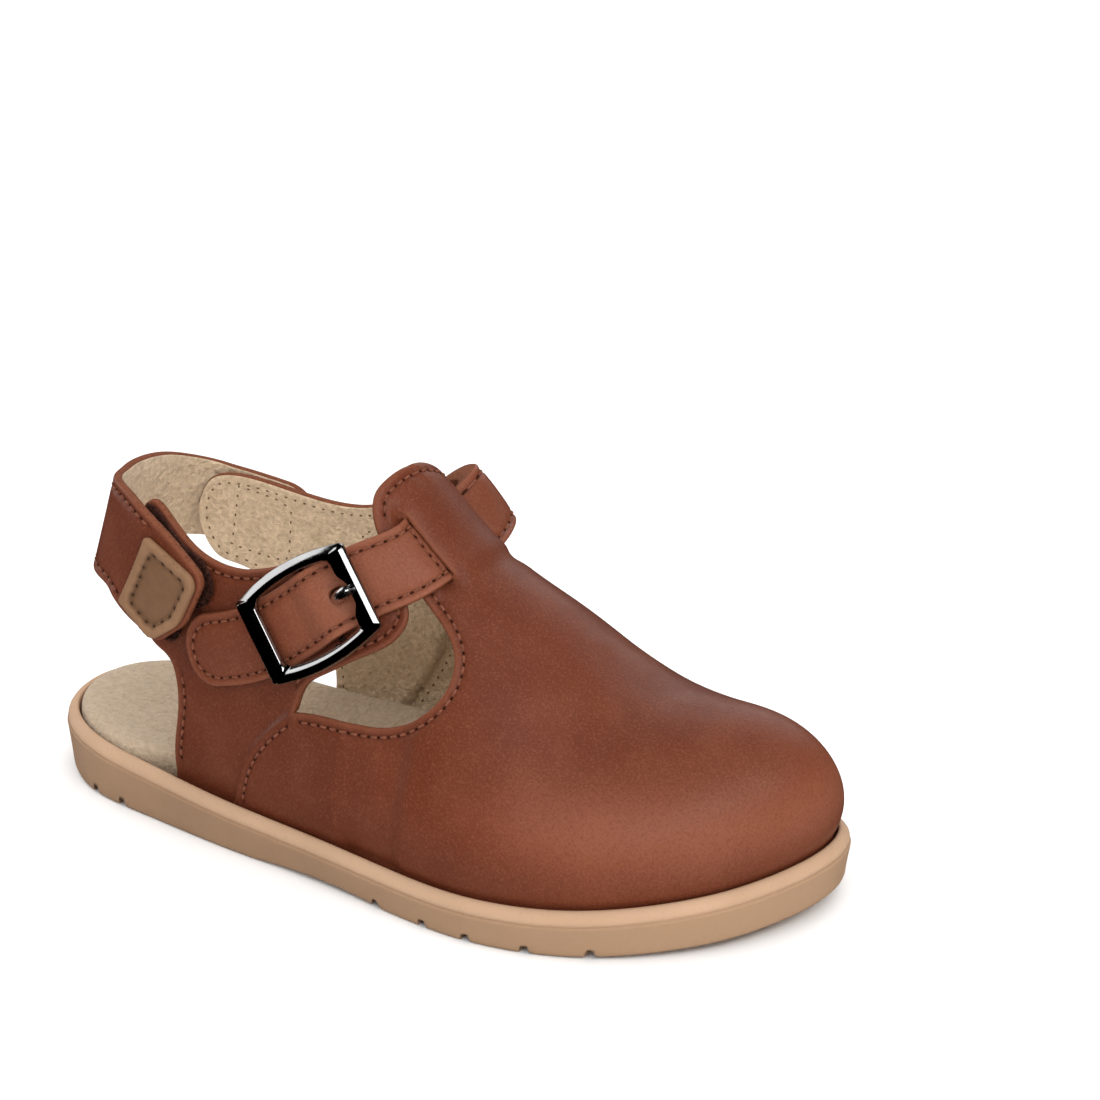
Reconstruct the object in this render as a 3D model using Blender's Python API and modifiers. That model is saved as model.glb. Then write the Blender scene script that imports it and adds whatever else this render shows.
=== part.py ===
"""Child's closed-toe sandal with a T-bar, a buckled instep strap and a sling-back heel strap.

Right foot. Millimetres in the tables, metres in the scene. +X points to the toe, -Y is the outer
(lateral) side, +Z is up, and the shoe stands on z = 0 with its middle over the origin.
"""
import math

import bpy
import numpy as np
from mathutils import Vector, geometry

MM = 0.001
GAP = 0.3
LATERAL, MEDIAL = -1, 1

# Sole outline seen from above: heel, outer side, toe, inner side
OUTLINE = (
    (-85, 0), (-81.8, -11.6), (-72, -20.0), (-55, -24.7), (-35, -28.5), (-10, -32.1), (10, -36.0),
    (26, -38.3), (40, -37.1), (53, -32.9), (64, -26.3), (74, -17.3), (81.2, -6.0), (85, 10.0),
    (81.5, 20.2), (74, 26.0), (63, 32.1), (50, 36.7), (36, 38.3), (20, 36.8), (0, 32.1), (-20, 28.4),
    (-42, 26.9), (-60, 25.4), (-73, 20.2), (-82, 11.2),
)
HALF_LENGTH = 85.0
CREASE_HEEL, CREASE_WAIST, CREASE_TOE = 11.8, 6.4, 8.8
RIM_RISE = 2.8
TOE_SPRING, TOE_LIFT, TOE_SPRING_FROM = 3.8, 2.4, 37.0
HEEL_LIFT, HEEL_LIFT_FROM = 3.0, -68.0
ARCH_LIFT, ARCH_MIDDLE, ARCH_HALF = 0.8, -8.0, 17.0

# Profile of the outsole from the tread over the rim to the floor of the cup
OUTSOLE_PROFILE = (
    # inset, line it is measured from, rise
    (8.0, "tread", 0.0),
    (1.7, "tread", 0.0),
    (0.9, "tread", 0.8),
    (0.1, "crease", -0.7),
    (0.0, "crease", -0.2),
    (0.7, "crease", 0.0),
    (0.3, "crease", 0.35),
    (0.3, "crease", 1.2),
    (0.9, "crease", 2.2),
    (1.8, "crease", 2.8),
    (2.5, "crease", 2.6),
    (2.5, "crease", -1.2),
    (8.5, "crease", -1.2),
)
SOLE_POINTS = 96
GROOVES = (-69.0, -61.0, 6.6, 18.4, 28.4, 40.5, 52.4)
GROOVE_WIDTH, GROOVE_DEPTH = 2.0, 1.3

# Insole: inset at the bare heel and inside the upper, then its own profile
INSOLE_HEEL_INSET, INSOLE_INSET = 3.0, 6.5
INSOLE_NARROWS = (-62.0, -50.0)
INSOLE_PROFILE = (
    # further inset, rise from the crease
    (5.0, -0.9),
    (0.0, -0.9),
    (0.0, 2.4),
    (0.5, 3.6),
    (1.7, 4.3),
    (4.0, 4.2),
    (6.5, 3.9),
)
PAD_RISE, PAD_FROM, PAD_TO, PAD_SLOPE = 2.2, (-66.0, -48.0), (-12.0, 12.0), (2.0, 18.0)

# Last: crest of the foot from the ankle to the toe, and how full its sections are
CREST = (
    # x, y, z
    (-80, 0.0, 155.0),
    (-50, 0.0, 124.0),
    (-20, 0.0, 93.0),
    (-5, 0.0, 77.2),
    (10, 0.5, 61.8),
    (25, 1.5, 52.1),
    (45, 3.0, 39.9),
    (65, 4.5, 41.2),
    (84, 5.5, 48.0),
)
FEATHER_INSET = 4.2
TUCK = 2.3
SIDE_FULLNESS, TOE_FULLNESS = 2.0, 2.7
SIDE_ROOT, TOE_ROOT = 2.0, 3.0
FAN_X = 32.0
BULGE, BULGE_HEIGHT = 2.2, 26.0
CHART = 45.0

# Upper: thickness and the step where the vamp laps over the quarters
WALL = 1.8
VAMP_LAP = 0.9
SEAMS = {
    LATERAL: ((-16.5, 32.8), (-22.9, 26.6), (-26.5, 21.5), (-31.0, 9.0)),
    MEDIAL: ((-9.5, 33.9), (-12.8, 26.6), (-17.0, 19.0), (-22.5, 9.0)),
}
LATERAL_QUARTER = (
    # x, z from the sole up the rear edge, round the ear, along the top and round the front tab
    (-47.6, 7.0), (-47.2, 17), (-46.2, 28), (-47.5, 33.5), (-52, 37), (-56, 41.5), (-57.8, 48), (-57.3, 57),
    (-55.6, 65), (-53.2, 67.3), (-49.5, 65.2), (-43.5, 60.5), (-37, 58.3), (-30, 58.3), (-23, 60.3),
    (-15, 63.2), (-7, 64.6), (0, 61.5), (4.6, 56.4), (4.6, 52.2), (1, 48.8), (-5.2, 45.2), (-10.5, 41.8),
    (-15, 37.5), (-16.5, 32.8),
)
MEDIAL_QUARTER = (
    (-37.4, 7.0), (-37.0, 15), (-37.8, 22), (-40.8, 28.5), (-46.4, 33.8), (-53.5, 37), (-60, 39), (-65.3, 43),
    (-66.8, 49), (-65.3, 55.5), (-61, 58.8), (-54, 59), (-44, 58), (-34, 57.4), (-27, 58.2), (-20, 60.6),
    (-13, 63.2), (-6.5, 64.4), (0, 61.5), (4.6, 56.4), (4.6, 52.2), (2.4, 48.8), (-2.2, 45.2), (-6.0, 41.6),
    (-8.8, 37.8), (-9.5, 33.9),
)
WINDOW_FRONT = (
    # x, z along the bottom and up the front to the top of the T-bar
    (-3, 33.9), (4.5, 34.8), (10.5, 37.2), (15, 41), (16.6, 45.4), (15.2, 49.6), (11.5, 53.6), (6.2, 58.4),
    (0.5, 64.0),
)
WINDOWS = {
    LATERAL: ((-16.5, 32.8), (-10.8, 33.6)) + WINDOW_FRONT,
    MEDIAL: ((-9.5, 33.9),) + WINDOW_FRONT,
}
T_BAR_TOP = (
    # x, y from the outer corner over the crest to the inner corner
    (-3.8, -13.3), (-6.2, -11.4), (-6.4, -7.5), (-5.5, -2.5), (-5.0, 2.5), (-4.8, 7.5), (-4.6, 10.6),
    (-3.2, 12.8),
)
SLOT_X = (-2.3, 10.4)
SLOT_Y = (6.8, 11.2)
WEAVE_FROM, WEAVE_TO = (-6.5, -3.0), (12.0, 22.0)
STRAP_X = 4.0
QUARTER_POINTS, SEAM_POINTS, WINDOW_POINTS, BAR_TOP_POINTS = 64, 9, 34, 19
FEATHER_SIDE_POINTS, FEATHER_TOE_POINTS = 22, 40
UPPER_SPACING = (5.2, 4.0)

# Instep strap, from its sewn inner end over the T-bar to its free tip
STRAP_WIDTH, STRAP_THICK = 14.6, 1.8
STRAP_MEDIAL = ((-28.5, 45.2), (-15.5, 52.3), (-4.2, 60.2))
STRAP_LATERAL = ((-4.2, 60.2), (-12.9, 54.0), (-25.0, 45.3), (-41.7, 39.4))
STRAP_TIP_ROUND, STRAP_END_ROUND = 6.5, 5.0
STRAP_STATIONS, STRAP_COLUMNS = 80, 5

# Buckle in its own plane: along the strap, across it, and out of the foot
BUCKLE_X, BUCKLE_Z = -12.9, 54.0
FRAME_LENGTH, FRAME_WIDTH = 26.8, 20.0
OPENING_LENGTH, OPENING_WIDTH = 18.8, 16.6
FRAME_CORNER, OPENING_CORNER = 2.2, 1.2
FRAME_THICK, FRAME_CHAMFER, FRAME_BOW = 2.0, 0.7, 0.9
FRAME_RISE = 2.5
BAR_ALONG, BAR_RADIUS, BAR_RISE = 3.0, 0.65, 1.05
STRAP_HUMP, STRAP_HUMP_HALF = 1.8, 6.0
POST_RISE, POST_SIZE = 2.7, (1.8, 1.0, 4.2)
BAR_OVERLAP, POST_OUT = 0.7, 0.75
PRONG_RADIUS = 0.75
PRONG_STATIONS, PRONG_SIDES = 14, 10
PRONG_ON_BAR = (
    # along the strap from the bar, rise over the bar
    (-0.4, GAP),
    (1.2, 1.0),
)
PRONG_ON_FRAME = (
    # along the strap from the bar, rise over the frame
    (3.4, -0.2),
    (5.6, 0.75),
    (7.4, 0.62),
    (9.0, 0.2),
)
PRONG_HOLE_SIZE = (5.6, 2.6, 12.0)
PRONG_HOLE_AT, PRONG_HOLE_RISE = 1.0, 3.0

# Heel strap: middle line, height of the band and how far its top leans in
HEEL_STRAP = (
    # x, y, z, half height, lean in degrees
    (-39.0, -25.9, 46.3, 8.8, 6),
    (-47.5, -24.9, 52.4, 10.2, 7),
    (-56.0, -22.8, 57.6, 10.6, 9),
    (-65.0, -16.4, 59.2, 10.2, 14),
    (-70.3, -6.5, 58.2, 10.2, 18),
    (-71.6, 3.0, 56.7, 10.2, 18),
    (-70.2, 13.4, 54.0, 9.4, 14),
    (-64.8, 21.7, 51.4, 8.6, 8),
    (-54.0, 24.2, 49.2, 8.8, 6),
    (-44.0, 24.9, 47.8, 8.6, 6),
)
HEEL_STRAP_THICK = 1.8
HEEL_STRAP_STATIONS, HEEL_STRAP_COLUMNS = 56, 5
HEEL_STRAP_ROUND = 6.0
PATCH_FROM, PATCH_TO, PATCH_MARGIN, PATCH_THICK = 1.2, 16.2, 1.0, 1.4
PATCH_STATIONS, PATCH_COLUMNS = 12, 5
TAPE_OUTLINE = (
    (-44.0, 42.8), (-47.5, 39.8), (-52, 40.2), (-54.5, 46), (-54.5, 55), (-52.8, 62.5), (-48.5, 61.5),
    (-43.5, 57), (-41.5, 52.5), (-42, 47),
)
TAPE_THICK, TAPE_POINTS, TAPE_SPACING = 1.2, 36, (4.0, 2.4)


# Smooth curves through short tables
def cubic(knots, values, at):
    """Natural cubic through the rows of values, read at the given places."""
    knots = np.asarray(knots, float)
    values = np.asarray(values, float)
    flat = values.ndim == 1
    rows = values[:, None] if flat else values
    at = np.asarray(at, float)
    step = np.diff(knots)
    slope = np.diff(rows, axis=0) / step[:, None]
    system = np.eye(len(knots))
    change = np.zeros_like(rows)
    for i in range(1, len(knots) - 1):
        system[i, i - 1:i + 2] = step[i - 1], 2 * (step[i - 1] + step[i]), step[i]
        change[i] = 6 * (slope[i] - slope[i - 1])
    bend = np.linalg.solve(system, change)
    i = np.clip(np.searchsorted(knots, at) - 1, 0, len(knots) - 2)
    size = step[i][..., None]
    after = (at - knots[i])[..., None]
    before = size - after
    read = (bend[i] * before**3 + bend[i + 1] * after**3) / (6 * size)
    read = read + (rows[i] / size - bend[i] * size / 6) * before
    read = read + (rows[i + 1] / size - bend[i + 1] * size / 6) * after
    return read[..., 0] if flat else read


def chord_lengths(points):
    steps = np.linalg.norm(np.diff(points, axis=0), axis=1)
    return np.concatenate([[0.0], np.cumsum(steps)])


def open_curve(points, count):
    """Smooth curve through the points, read at equal steps."""
    points = np.asarray(points, float)
    chord = chord_lengths(points)
    dense = cubic(chord, points, np.linspace(0, chord[-1], 40 * len(points)))
    run = chord_lengths(dense)
    at = np.linspace(0, run[-1], count)
    return np.stack([np.interp(at, run, dense[:, k]) for k in range(points.shape[1])], 1)


def closed_curve(points, count):
    """Smooth closed curve through the points, read at equal steps."""
    points = [tuple(p) for p in points]
    lead = 4
    ring = np.array(points[-lead:] + points + points[:lead], float)
    chord = chord_lengths(ring)
    dense = cubic(chord, ring, np.linspace(chord[lead], chord[lead + len(points)], 60 * len(points)))
    run = chord_lengths(dense)
    at = np.linspace(0, run[-1], count, endpoint=False)
    return np.stack([np.interp(at, run, dense[:, k]) for k in range(ring.shape[1])], 1)


def smooth_step(value, low, high):
    t = np.clip((np.asarray(value, float) - low) / (high - low), 0, 1)
    return t * t * (3 - 2 * t)


# Heights along the sole
def toe_bend(x):
    """Share of the toe's lift."""
    ahead = np.asarray(x, float) - TOE_SPRING_FROM
    return np.clip(ahead / (HALF_LENGTH - TOE_SPRING_FROM), 0, 1)**2


def crease_height(x):
    s = (np.asarray(x, float) + HALF_LENGTH) / (2 * HALF_LENGTH)
    return (CREASE_HEEL * (1 - s) * (1 - 2 * s) + CREASE_WAIST * 4 * s * (1 - s)
            + CREASE_TOE * s * (2 * s - 1) + TOE_LIFT * toe_bend(x))


def rim_height(x):
    return crease_height(x) + RIM_RISE


def tread_height(x):
    x = np.asarray(x, float)
    heel = np.clip((HEEL_LIFT_FROM - x) / (HALF_LENGTH + HEEL_LIFT_FROM), 0, 1)
    arch = np.clip(1 - ((x - ARCH_MIDDLE) / ARCH_HALF)**2, 0, 1)
    return TOE_SPRING * toe_bend(x) + HEEL_LIFT * heel**2 + ARCH_LIFT * arch


def sole_outline(inset, count):
    """Sole outline moved in by the inset, one value or one for each point."""
    ring = closed_curve(OUTLINE, count)
    along = np.roll(ring, -1, 0) - np.roll(ring, 1, 0)
    along /= np.linalg.norm(along, axis=1)[:, None]
    outward = np.stack([along[:, 1], -along[:, 0]], 1)
    return ring - outward * np.reshape(inset, (-1, 1))


# The last: a chart with u along the foot and v round it, bent to the shape of the foot
CREST_ROWS = np.array(CREST, float)
FEATHER = sole_outline(FEATHER_INSET, 1600)
TOE_INDEX = int(np.argmax(FEATHER[:, 0]))
OUTER_EDGE = FEATHER[:TOE_INDEX + 1]
INNER_EDGE = FEATHER[TOE_INDEX:][::-1]
FAN_Y = float(cubic(CREST_ROWS[:, 0], CREST_ROWS[:, 1], FAN_X))
FAN_RAYS = FEATHER - (FAN_X, FAN_Y)
FAN_RAYS = FAN_RAYS[FAN_RAYS[:, 0] > -3]
FAN_ANGLES = np.arctan2(FAN_RAYS[:, 1], FAN_RAYS[:, 0])
FAN_REACHES = np.linalg.norm(FAN_RAYS, axis=1)
EDGE_V = CHART * math.pi / 2


def half_breadth(x, side):
    """Distance from the crest to the feather edge on each point's side."""
    crest = cubic(CREST_ROWS[:, 0], CREST_ROWS[:, 1], x)
    outer = crest - np.interp(x, OUTER_EDGE[:, 0], OUTER_EDGE[:, 1])
    inner = np.interp(x, INNER_EDGE[:, 0], INNER_EDGE[:, 1]) - crest
    return np.where(np.asarray(side) < 0, outer, inner)


def bare_last(u, v):
    """Point of the last for each place on the chart."""
    u = np.asarray(u, float)
    v = np.asarray(v, float)
    toe = u > 0
    side = np.where(v < 0, LATERAL, MEDIAL)
    girth = np.minimum(np.where(toe, np.hypot(u, v), np.abs(v)) / CHART, math.pi / 2 - 1e-6)
    turn = np.where(toe, np.arctan2(v, np.maximum(u, 1e-9)), side * math.pi / 2)
    rear_x = FAN_X + np.minimum(u, 0)
    reach = np.where(toe, np.interp(turn, FAN_ANGLES, FAN_REACHES), half_breadth(rear_x, side))
    forward = np.cos(turn) * toe
    share = np.sin(girth)
    x = rear_x + share * reach * forward
    y = cubic(CREST_ROWS[:, 0], CREST_ROWS[:, 1], rear_x) + share * reach * np.sin(turn)
    fullness = SIDE_FULLNESS + (TOE_FULLNESS - SIDE_FULLNESS) * forward**2
    root = SIDE_ROOT + (TOE_ROOT - SIDE_ROOT) * forward**2
    base = rim_height(x) - TUCK
    crown = cubic(CREST_ROWS[:, 0], CREST_ROWS[:, 2], np.minimum(x, CREST_ROWS[-1, 0]))
    rise = (crown - base) * (1 - share**fullness)**(1 / root)
    swell = np.clip((rise - TUCK) / BULGE_HEIGHT, 0, 1)
    push = BULGE * 6.75 * swell * (1 - swell)**2 * share * (0.4 + 0.6 * smooth_step(x, -45, 0))
    return np.stack([x + push * forward, y + push * np.sin(turn), base + rise], -1)


def last_frame(u, v):
    """Point, both chart directions and the outward normal."""
    u = np.asarray(u, float)
    v = np.asarray(v, float)
    h = 0.15
    along = (bare_last(u + h, v) - bare_last(u - h, v)) / (2 * h)
    girth = np.where(u > 0, np.hypot(u, v), np.abs(v))
    keep = np.minimum(1, (EDGE_V - 2 * h) / np.maximum(girth, 1e-9))
    inner_u = np.where(u > 0, u * keep, u)
    inner_v = v * keep
    around = (bare_last(inner_u, inner_v + h) - bare_last(inner_u, inner_v - h)) / (2 * h)
    along = np.where((keep < 1)[..., None],
                     (bare_last(inner_u + h, inner_v) - bare_last(inner_u - h, inner_v)) / (2 * h), along)
    normal = np.cross(along, around)
    normal /= np.linalg.norm(normal, axis=-1, keepdims=True)
    return bare_last(u, v), along, around, normal


def lasted(u, v, stand):
    """Chart places set on the last, standing out by the given distance."""
    point, _, _, normal = last_frame(u, v)
    return point + normal * np.reshape(stand, (-1, 1))


def side_chart(rows, side):
    """Chart places of points given by x and z on one side of the foot."""
    rows = np.asarray(rows, float)
    x, z = rows[:, 0], rows[:, 1]
    base = rim_height(x) - TUCK
    crown = cubic(CREST_ROWS[:, 0], CREST_ROWS[:, 2], x)
    rise = np.clip((z - base) / (crown - base), 0, 1)
    return np.stack([x - FAN_X, side * CHART * np.arccos(rise)], 1)


def top_chart(rows):
    """Chart places of points given by x and y on the T-bar."""
    rows = np.asarray(rows, float)
    x, y = rows[:, 0], rows[:, 1]
    off = y - cubic(CREST_ROWS[:, 0], CREST_ROWS[:, 1], x)
    share = np.clip(np.abs(off) / half_breadth(x, np.sign(off)), 0, 1)
    return np.stack([x - FAN_X, np.sign(off) * CHART * np.arcsin(share)], 1)


def feather_chart(count_side, count_toe):
    """The lower edge of the upper, from the outer quarter's rear round the toe to the inner one's."""
    start = LATERAL_QUARTER[0][0] - FAN_X
    end = MEDIAL_QUARTER[0][0] - FAN_X
    turn = np.linspace(-math.pi / 2, math.pi / 2, count_toe)
    outer = np.stack([np.linspace(start, 0, count_side), np.full(count_side, -EDGE_V)], 1)
    toe = EDGE_V * np.stack([np.cos(turn), np.sin(turn)], 1)
    inner = np.stack([np.linspace(0, end, count_side), np.full(count_side, EDGE_V)], 1)
    return np.vstack([outer[:-1], toe, inner[1:]])


# Flat panels: an outline on the chart, filled with triangles
def inside(points, ring):
    """True for the points that lie in the closed ring."""
    x, y = np.asarray(points, float).T
    x0, y0 = np.asarray(ring, float).T
    x1, y1 = np.roll(x0, -1), np.roll(y0, -1)
    crosses = (y0 > y[:, None]) != (y1 > y[:, None])
    rise = np.where(y1 == y0, 1e-12, y1 - y0)
    left = x[:, None] < x0 + (y[:, None] - y0) * (x1 - x0) / rise
    return np.count_nonzero(crosses & left, axis=1) % 2 == 1


def distance_to(points, line):
    """Shortest distance from each point to a broken line."""
    start = line[:-1]
    step = line[1:] - start
    offset = points[:, None] - start
    length = np.maximum((step**2).sum(1), 1e-12)
    t = np.clip((offset * step).sum(2) / length, 0, 1)
    return np.linalg.norm(offset - t[..., None] * step, axis=2).min(1)


def panel(ring, holes, lines, spacing):
    """Points and triangles of a flat panel with holes and lines that its edges follow."""
    loops = [ring] + list(holes)
    points = []
    edges = []
    for loop in loops:
        first = len(points)
        points.extend(loop)
        edges.extend((first + i, first + (i + 1) % len(loop)) for i in range(len(loop)))
    for line in lines:
        first = len(points)
        points.extend(line)
        edges.extend((first + i, first + i + 1) for i in range(len(line) - 1))
    low, high = ring.min(0), ring.max(0)
    across = np.arange(low[0], high[0], spacing[0])
    grid = [(x + (row % 2) * spacing[0] / 2, y)
            for row, y in enumerate(np.arange(low[1], high[1], spacing[1])) for x in across]
    grid = np.array(grid)
    keep = inside(grid, ring)
    for hole in holes:
        keep &= ~inside(grid, hole)
    for loop in loops:
        keep &= distance_to(grid, np.vstack([loop, loop[:1]])) > 0.5 * min(spacing)
    for line in lines:
        keep &= distance_to(grid, line) > 0.4 * min(spacing)
    points.extend(grid[keep])
    filled = geometry.delaunay_2d_cdt([Vector(p) for p in points], edges, [], 0, 1e-5)
    flat = np.array([tuple(p) for p in filled[0]])
    faces = np.array([tuple(f) for f in filled[2]])
    middle = flat[faces].mean(1)
    wanted = inside(middle, ring)
    for hole in holes:
        wanted &= ~inside(middle, hole)
    faces = faces[wanted]
    used = np.unique(faces)
    renumber = np.full(len(flat), -1)
    renumber[used] = np.arange(len(used))
    return flat[used], renumber[faces]


# Blender objects
def collection(name):
    made = bpy.data.collections.new(name)
    bpy.context.scene.collection.children.link(made)
    return made


def material(name, colour, roughness, metallic=0.0):
    made = bpy.data.materials.new(name)
    made.use_nodes = True
    shader = made.node_tree.nodes["Principled BSDF"]
    shader.inputs["Base Color"].default_value = (*colour, 1.0)
    shader.inputs["Roughness"].default_value = roughness
    shader.inputs["Metallic"].default_value = metallic
    return made


def mesh_object(name, points, faces, home, finish=None):
    """A mesh object from points in millimetres."""
    mesh = bpy.data.meshes.new(name)
    corners = [tuple(float(c) * MM for c in p) for p in points]
    mesh.from_pydata(corners, [], [tuple(map(int, f)) for f in faces])
    mesh.shade_smooth()
    made = bpy.data.objects.new(name, mesh)
    home.objects.link(made)
    if finish:
        mesh.materials.append(finish)
    return made


def thicken(thing, thickness, offset):
    shell = thing.modifiers.new("thickness", "SOLIDIFY")
    shell.thickness = thickness * MM
    shell.offset = offset
    shell.use_even_offset = False
    return shell


def cut(thing, cutter, operation="DIFFERENCE"):
    change = thing.modifiers.new(operation.lower(), "BOOLEAN")
    change.operation = operation
    change.object = cutter
    change.solver = "EXACT"


def as_cutter(thing):
    thing.hide_render = True
    thing.display_type = "WIRE"
    return thing


def grid_faces(rows, columns):
    return [(r * columns + c, r * columns + c + 1, (r + 1) * columns + c + 1, (r + 1) * columns + c)
            for r in range(rows - 1) for c in range(columns - 1)]


def ring_faces(rows, count):
    faces = []
    for row in range(0, (rows - 1) * count, count):
        for i in range(count):
            j = (i + 1) % count
            faces.append((row + i, row + j, row + count + j, row + count + i))
    return faces


def ladder_faces(first, count):
    """Cap over a ring of even count, with rungs across it from the ring's first point."""
    faces = [(first, first + 1, first + count - 1)]
    for i in range(1, count // 2 - 1):
        faces.append((first + i, first + i + 1, first + count - i - 1, first + count - i))
    middle = first + count // 2
    faces.append((middle - 1, middle, middle + 1))
    return faces


def lofted_rings(name, rings, home, finish):
    """Closed solid through rings of equal count, capped at both ends."""
    count = len(rings[0])
    faces = ring_faces(len(rings), count)
    faces.extend(tuple(reversed(face)) for face in ladder_faces(0, count))
    faces.extend(ladder_faces((len(rings) - 1) * count, count))
    return mesh_object(name, np.vstack(rings), faces, home, finish)


def oriented_box(name, centre, axes, size, home):
    """Box cutter with its sides along the given axes."""
    bpy.ops.mesh.primitive_cube_add(size=1)
    made = bpy.context.object
    made.name = name
    for old in list(made.users_collection):
        old.objects.unlink(made)
    home.objects.link(made)
    for corner in made.data.vertices:
        place = np.array(centre, float)
        for axis, length, at in zip(axes, size, corner.co):
            place = place + np.array(axis, float) * length * at
        corner.co = Vector(place * MM)
    return as_cutter(made)


# Sole unit
def make_outsole(parts, cutters):
    rubber = material("gum_rubber", (0.45, 0.27, 0.16), 0.55)
    edge = sole_outline(0, SOLE_POINTS)
    rings = []
    for inset, line, rise in OUTSOLE_PROFILE:
        plan = sole_outline(inset, SOLE_POINTS)
        level = tread_height(plan[:, 0]) if line == "tread" else crease_height(edge[:, 0])
        rings.append(np.column_stack([plan, level + rise]))
    outsole = lofted_rings("outsole", rings, parts, rubber)
    for number, x in enumerate(GROOVES):
        size = (GROOVE_WIDTH, HALF_LENGTH, 2 * GROOVE_DEPTH)
        centre = (x, 0, float(tread_height(x)))
        cut(outsole, oriented_box(f"groove_{number}", centre, np.eye(3), size, cutters))
    return outsole


def arch_pad(plan):
    """How far the insole rises under the inner arch."""
    along = smooth_step(plan[:, 0], *PAD_FROM) * (1 - smooth_step(plan[:, 0], *PAD_TO))
    return PAD_RISE * along * smooth_step(plan[:, 1], *PAD_SLOPE)


def make_insole(parts):
    suede = material("footbed_suede", (0.60, 0.50, 0.36), 0.95)
    edge = sole_outline(0, SOLE_POINTS)
    own = INSOLE_HEEL_INSET + (INSOLE_INSET - INSOLE_HEEL_INSET) * smooth_step(edge[:, 0], *INSOLE_NARROWS)
    rings = []
    for further, rise in INSOLE_PROFILE:
        plan = sole_outline(own + further, SOLE_POINTS)
        level = crease_height(edge[:, 0]) + rise
        rings.append(np.column_stack([plan, level + arch_pad(plan) * (rise > 0)]))
    return lofted_rings("insole", rings, parts, suede)


# Upper
def quarter_ring(rows, side):
    """Closed chart outline of one quarter, its front edge along the vamp seam."""
    edge = open_curve(side_chart(rows, side), QUARTER_POINTS)
    seam = open_curve(side_chart(SEAMS[side], side), SEAM_POINTS)
    seam[-1, 1] = side * EDGE_V
    edge[0, 1] = side * EDGE_V
    return edge, seam


def slot_ring(side):
    near, far = SLOT_Y
    corners = ((SLOT_X[0], side * near), (SLOT_X[0], side * far),
               (SLOT_X[1], side * far), (SLOT_X[1], side * near))
    sides = [np.linspace(corners[i], corners[(i + 1) % 4], 5, endpoint=False) for i in range(4)]
    return top_chart(np.vstack(sides))


def weave_lift(flat):
    """Height of the vamp's leather: it rises over the strap between the slots and drops beside it."""
    x = flat[:, 0] + FAN_X
    y = bare_last(flat[:, 0], flat[:, 1])[:, 1]
    near = smooth_step(x, *WEAVE_FROM) * (1 - smooth_step(x, *WEAVE_TO))
    middle = 1 - smooth_step(np.abs(y), *SLOT_Y)
    return VAMP_LAP + VAMP_LAP * near * (2 * middle - 1)


def make_upper(parts):
    leather = material("brown_leather", (0.21, 0.075, 0.04), 0.42)
    outer_edge, outer_seam = quarter_ring(LATERAL_QUARTER, LATERAL)
    inner_edge, inner_seam = quarter_ring(MEDIAL_QUARTER, MEDIAL)
    outer_window = open_curve(side_chart(WINDOWS[LATERAL], LATERAL), WINDOW_POINTS)
    inner_window = open_curve(side_chart(WINDOWS[MEDIAL], MEDIAL), WINDOW_POINTS)
    corners = np.vstack([outer_window[-1:], top_chart(T_BAR_TOP), inner_window[-1:]])
    bar_top = open_curve(corners, BAR_TOP_POINTS)
    feather = feather_chart(FEATHER_SIDE_POINTS, FEATHER_TOE_POINTS)
    ring = np.vstack([outer_edge[:-1], outer_window[:-1], bar_top[:-1], inner_window[::-1][:-1],
                      inner_edge[::-1][:-1], feather[::-1][:-1]])
    lap_shift = np.array([-VAMP_LAP, 0.0])
    laps = [seam + lap_shift for seam in (outer_seam, inner_seam)]
    lines = [outer_seam[1:-1], inner_seam[1:-1], laps[0][1:-1], laps[1][1:-1]]
    flat, faces = panel(ring, [slot_ring(LATERAL), slot_ring(MEDIAL)], lines, UPPER_SPACING)
    behind = np.zeros(len(flat), bool)
    for edge, lap in ((outer_edge, laps[0]), (inner_edge, laps[1])):
        behind |= inside(flat, np.vstack([edge, lap + (0.2, 0)]))
        behind |= distance_to(flat, edge[:-2]) < 0.05
    lift = np.where(behind, 0.0, weave_lift(flat))
    points = lasted(flat[:, 0], flat[:, 1], lift)
    upper = mesh_object("upper", points, faces, parts, leather)
    thicken(upper, WALL, -1.0)
    return upper


# Straps that lie on the last
def instep_path():
    """Chart places along the middle of the instep strap."""
    over = top_chart([(STRAP_X, y) for y in (9.0, 3.0, -3.0, -9.0)])
    inner = side_chart(STRAP_MEDIAL, MEDIAL)
    outer = side_chart(STRAP_LATERAL, LATERAL)
    return open_curve(np.vstack([inner, over, outer]), 400)


class StrapLine:
    """The instep strap's middle line with its directions on the last."""

    def __init__(self):
        path = instep_path()
        places = bare_last(path[:, 0], path[:, 1])
        run = chord_lengths(places)
        self.length = float(run[-1])
        self.at = np.linspace(0, self.length, STRAP_STATIONS)
        self.flat = np.stack([np.interp(self.at, run, path[:, k]) for k in (0, 1)], 1)
        place, along_u, along_v, normal = last_frame(self.flat[:, 0], self.flat[:, 1])
        tangent = np.gradient(place, axis=0)
        tangent /= np.linalg.norm(tangent, axis=1)[:, None]
        self.place = place
        self.normal = normal
        self.tangent = tangent
        self.across = np.cross(normal, tangent)
        self.jacobian = np.stack([along_u, along_v], -1)
        buckle = lasted(*side_chart([(BUCKLE_X, BUCKLE_Z)], LATERAL).T, 0.0)[0]
        self.buckle_at = float(self.at[np.argmin(np.linalg.norm(place - buckle, axis=1))])

    def beside(self, offsets):
        """Chart places at the given distances across the strap, one row for each station."""
        shift = self.across[:, None] * offsets[..., None]
        square = np.einsum("nik,nil->nkl", self.jacobian, self.jacobian)
        drive = np.einsum("nik,nci->nck", self.jacobian, shift)
        move = np.linalg.solve(square[:, None], drive[..., None])[..., 0]
        return self.flat[:, None] + move


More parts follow.
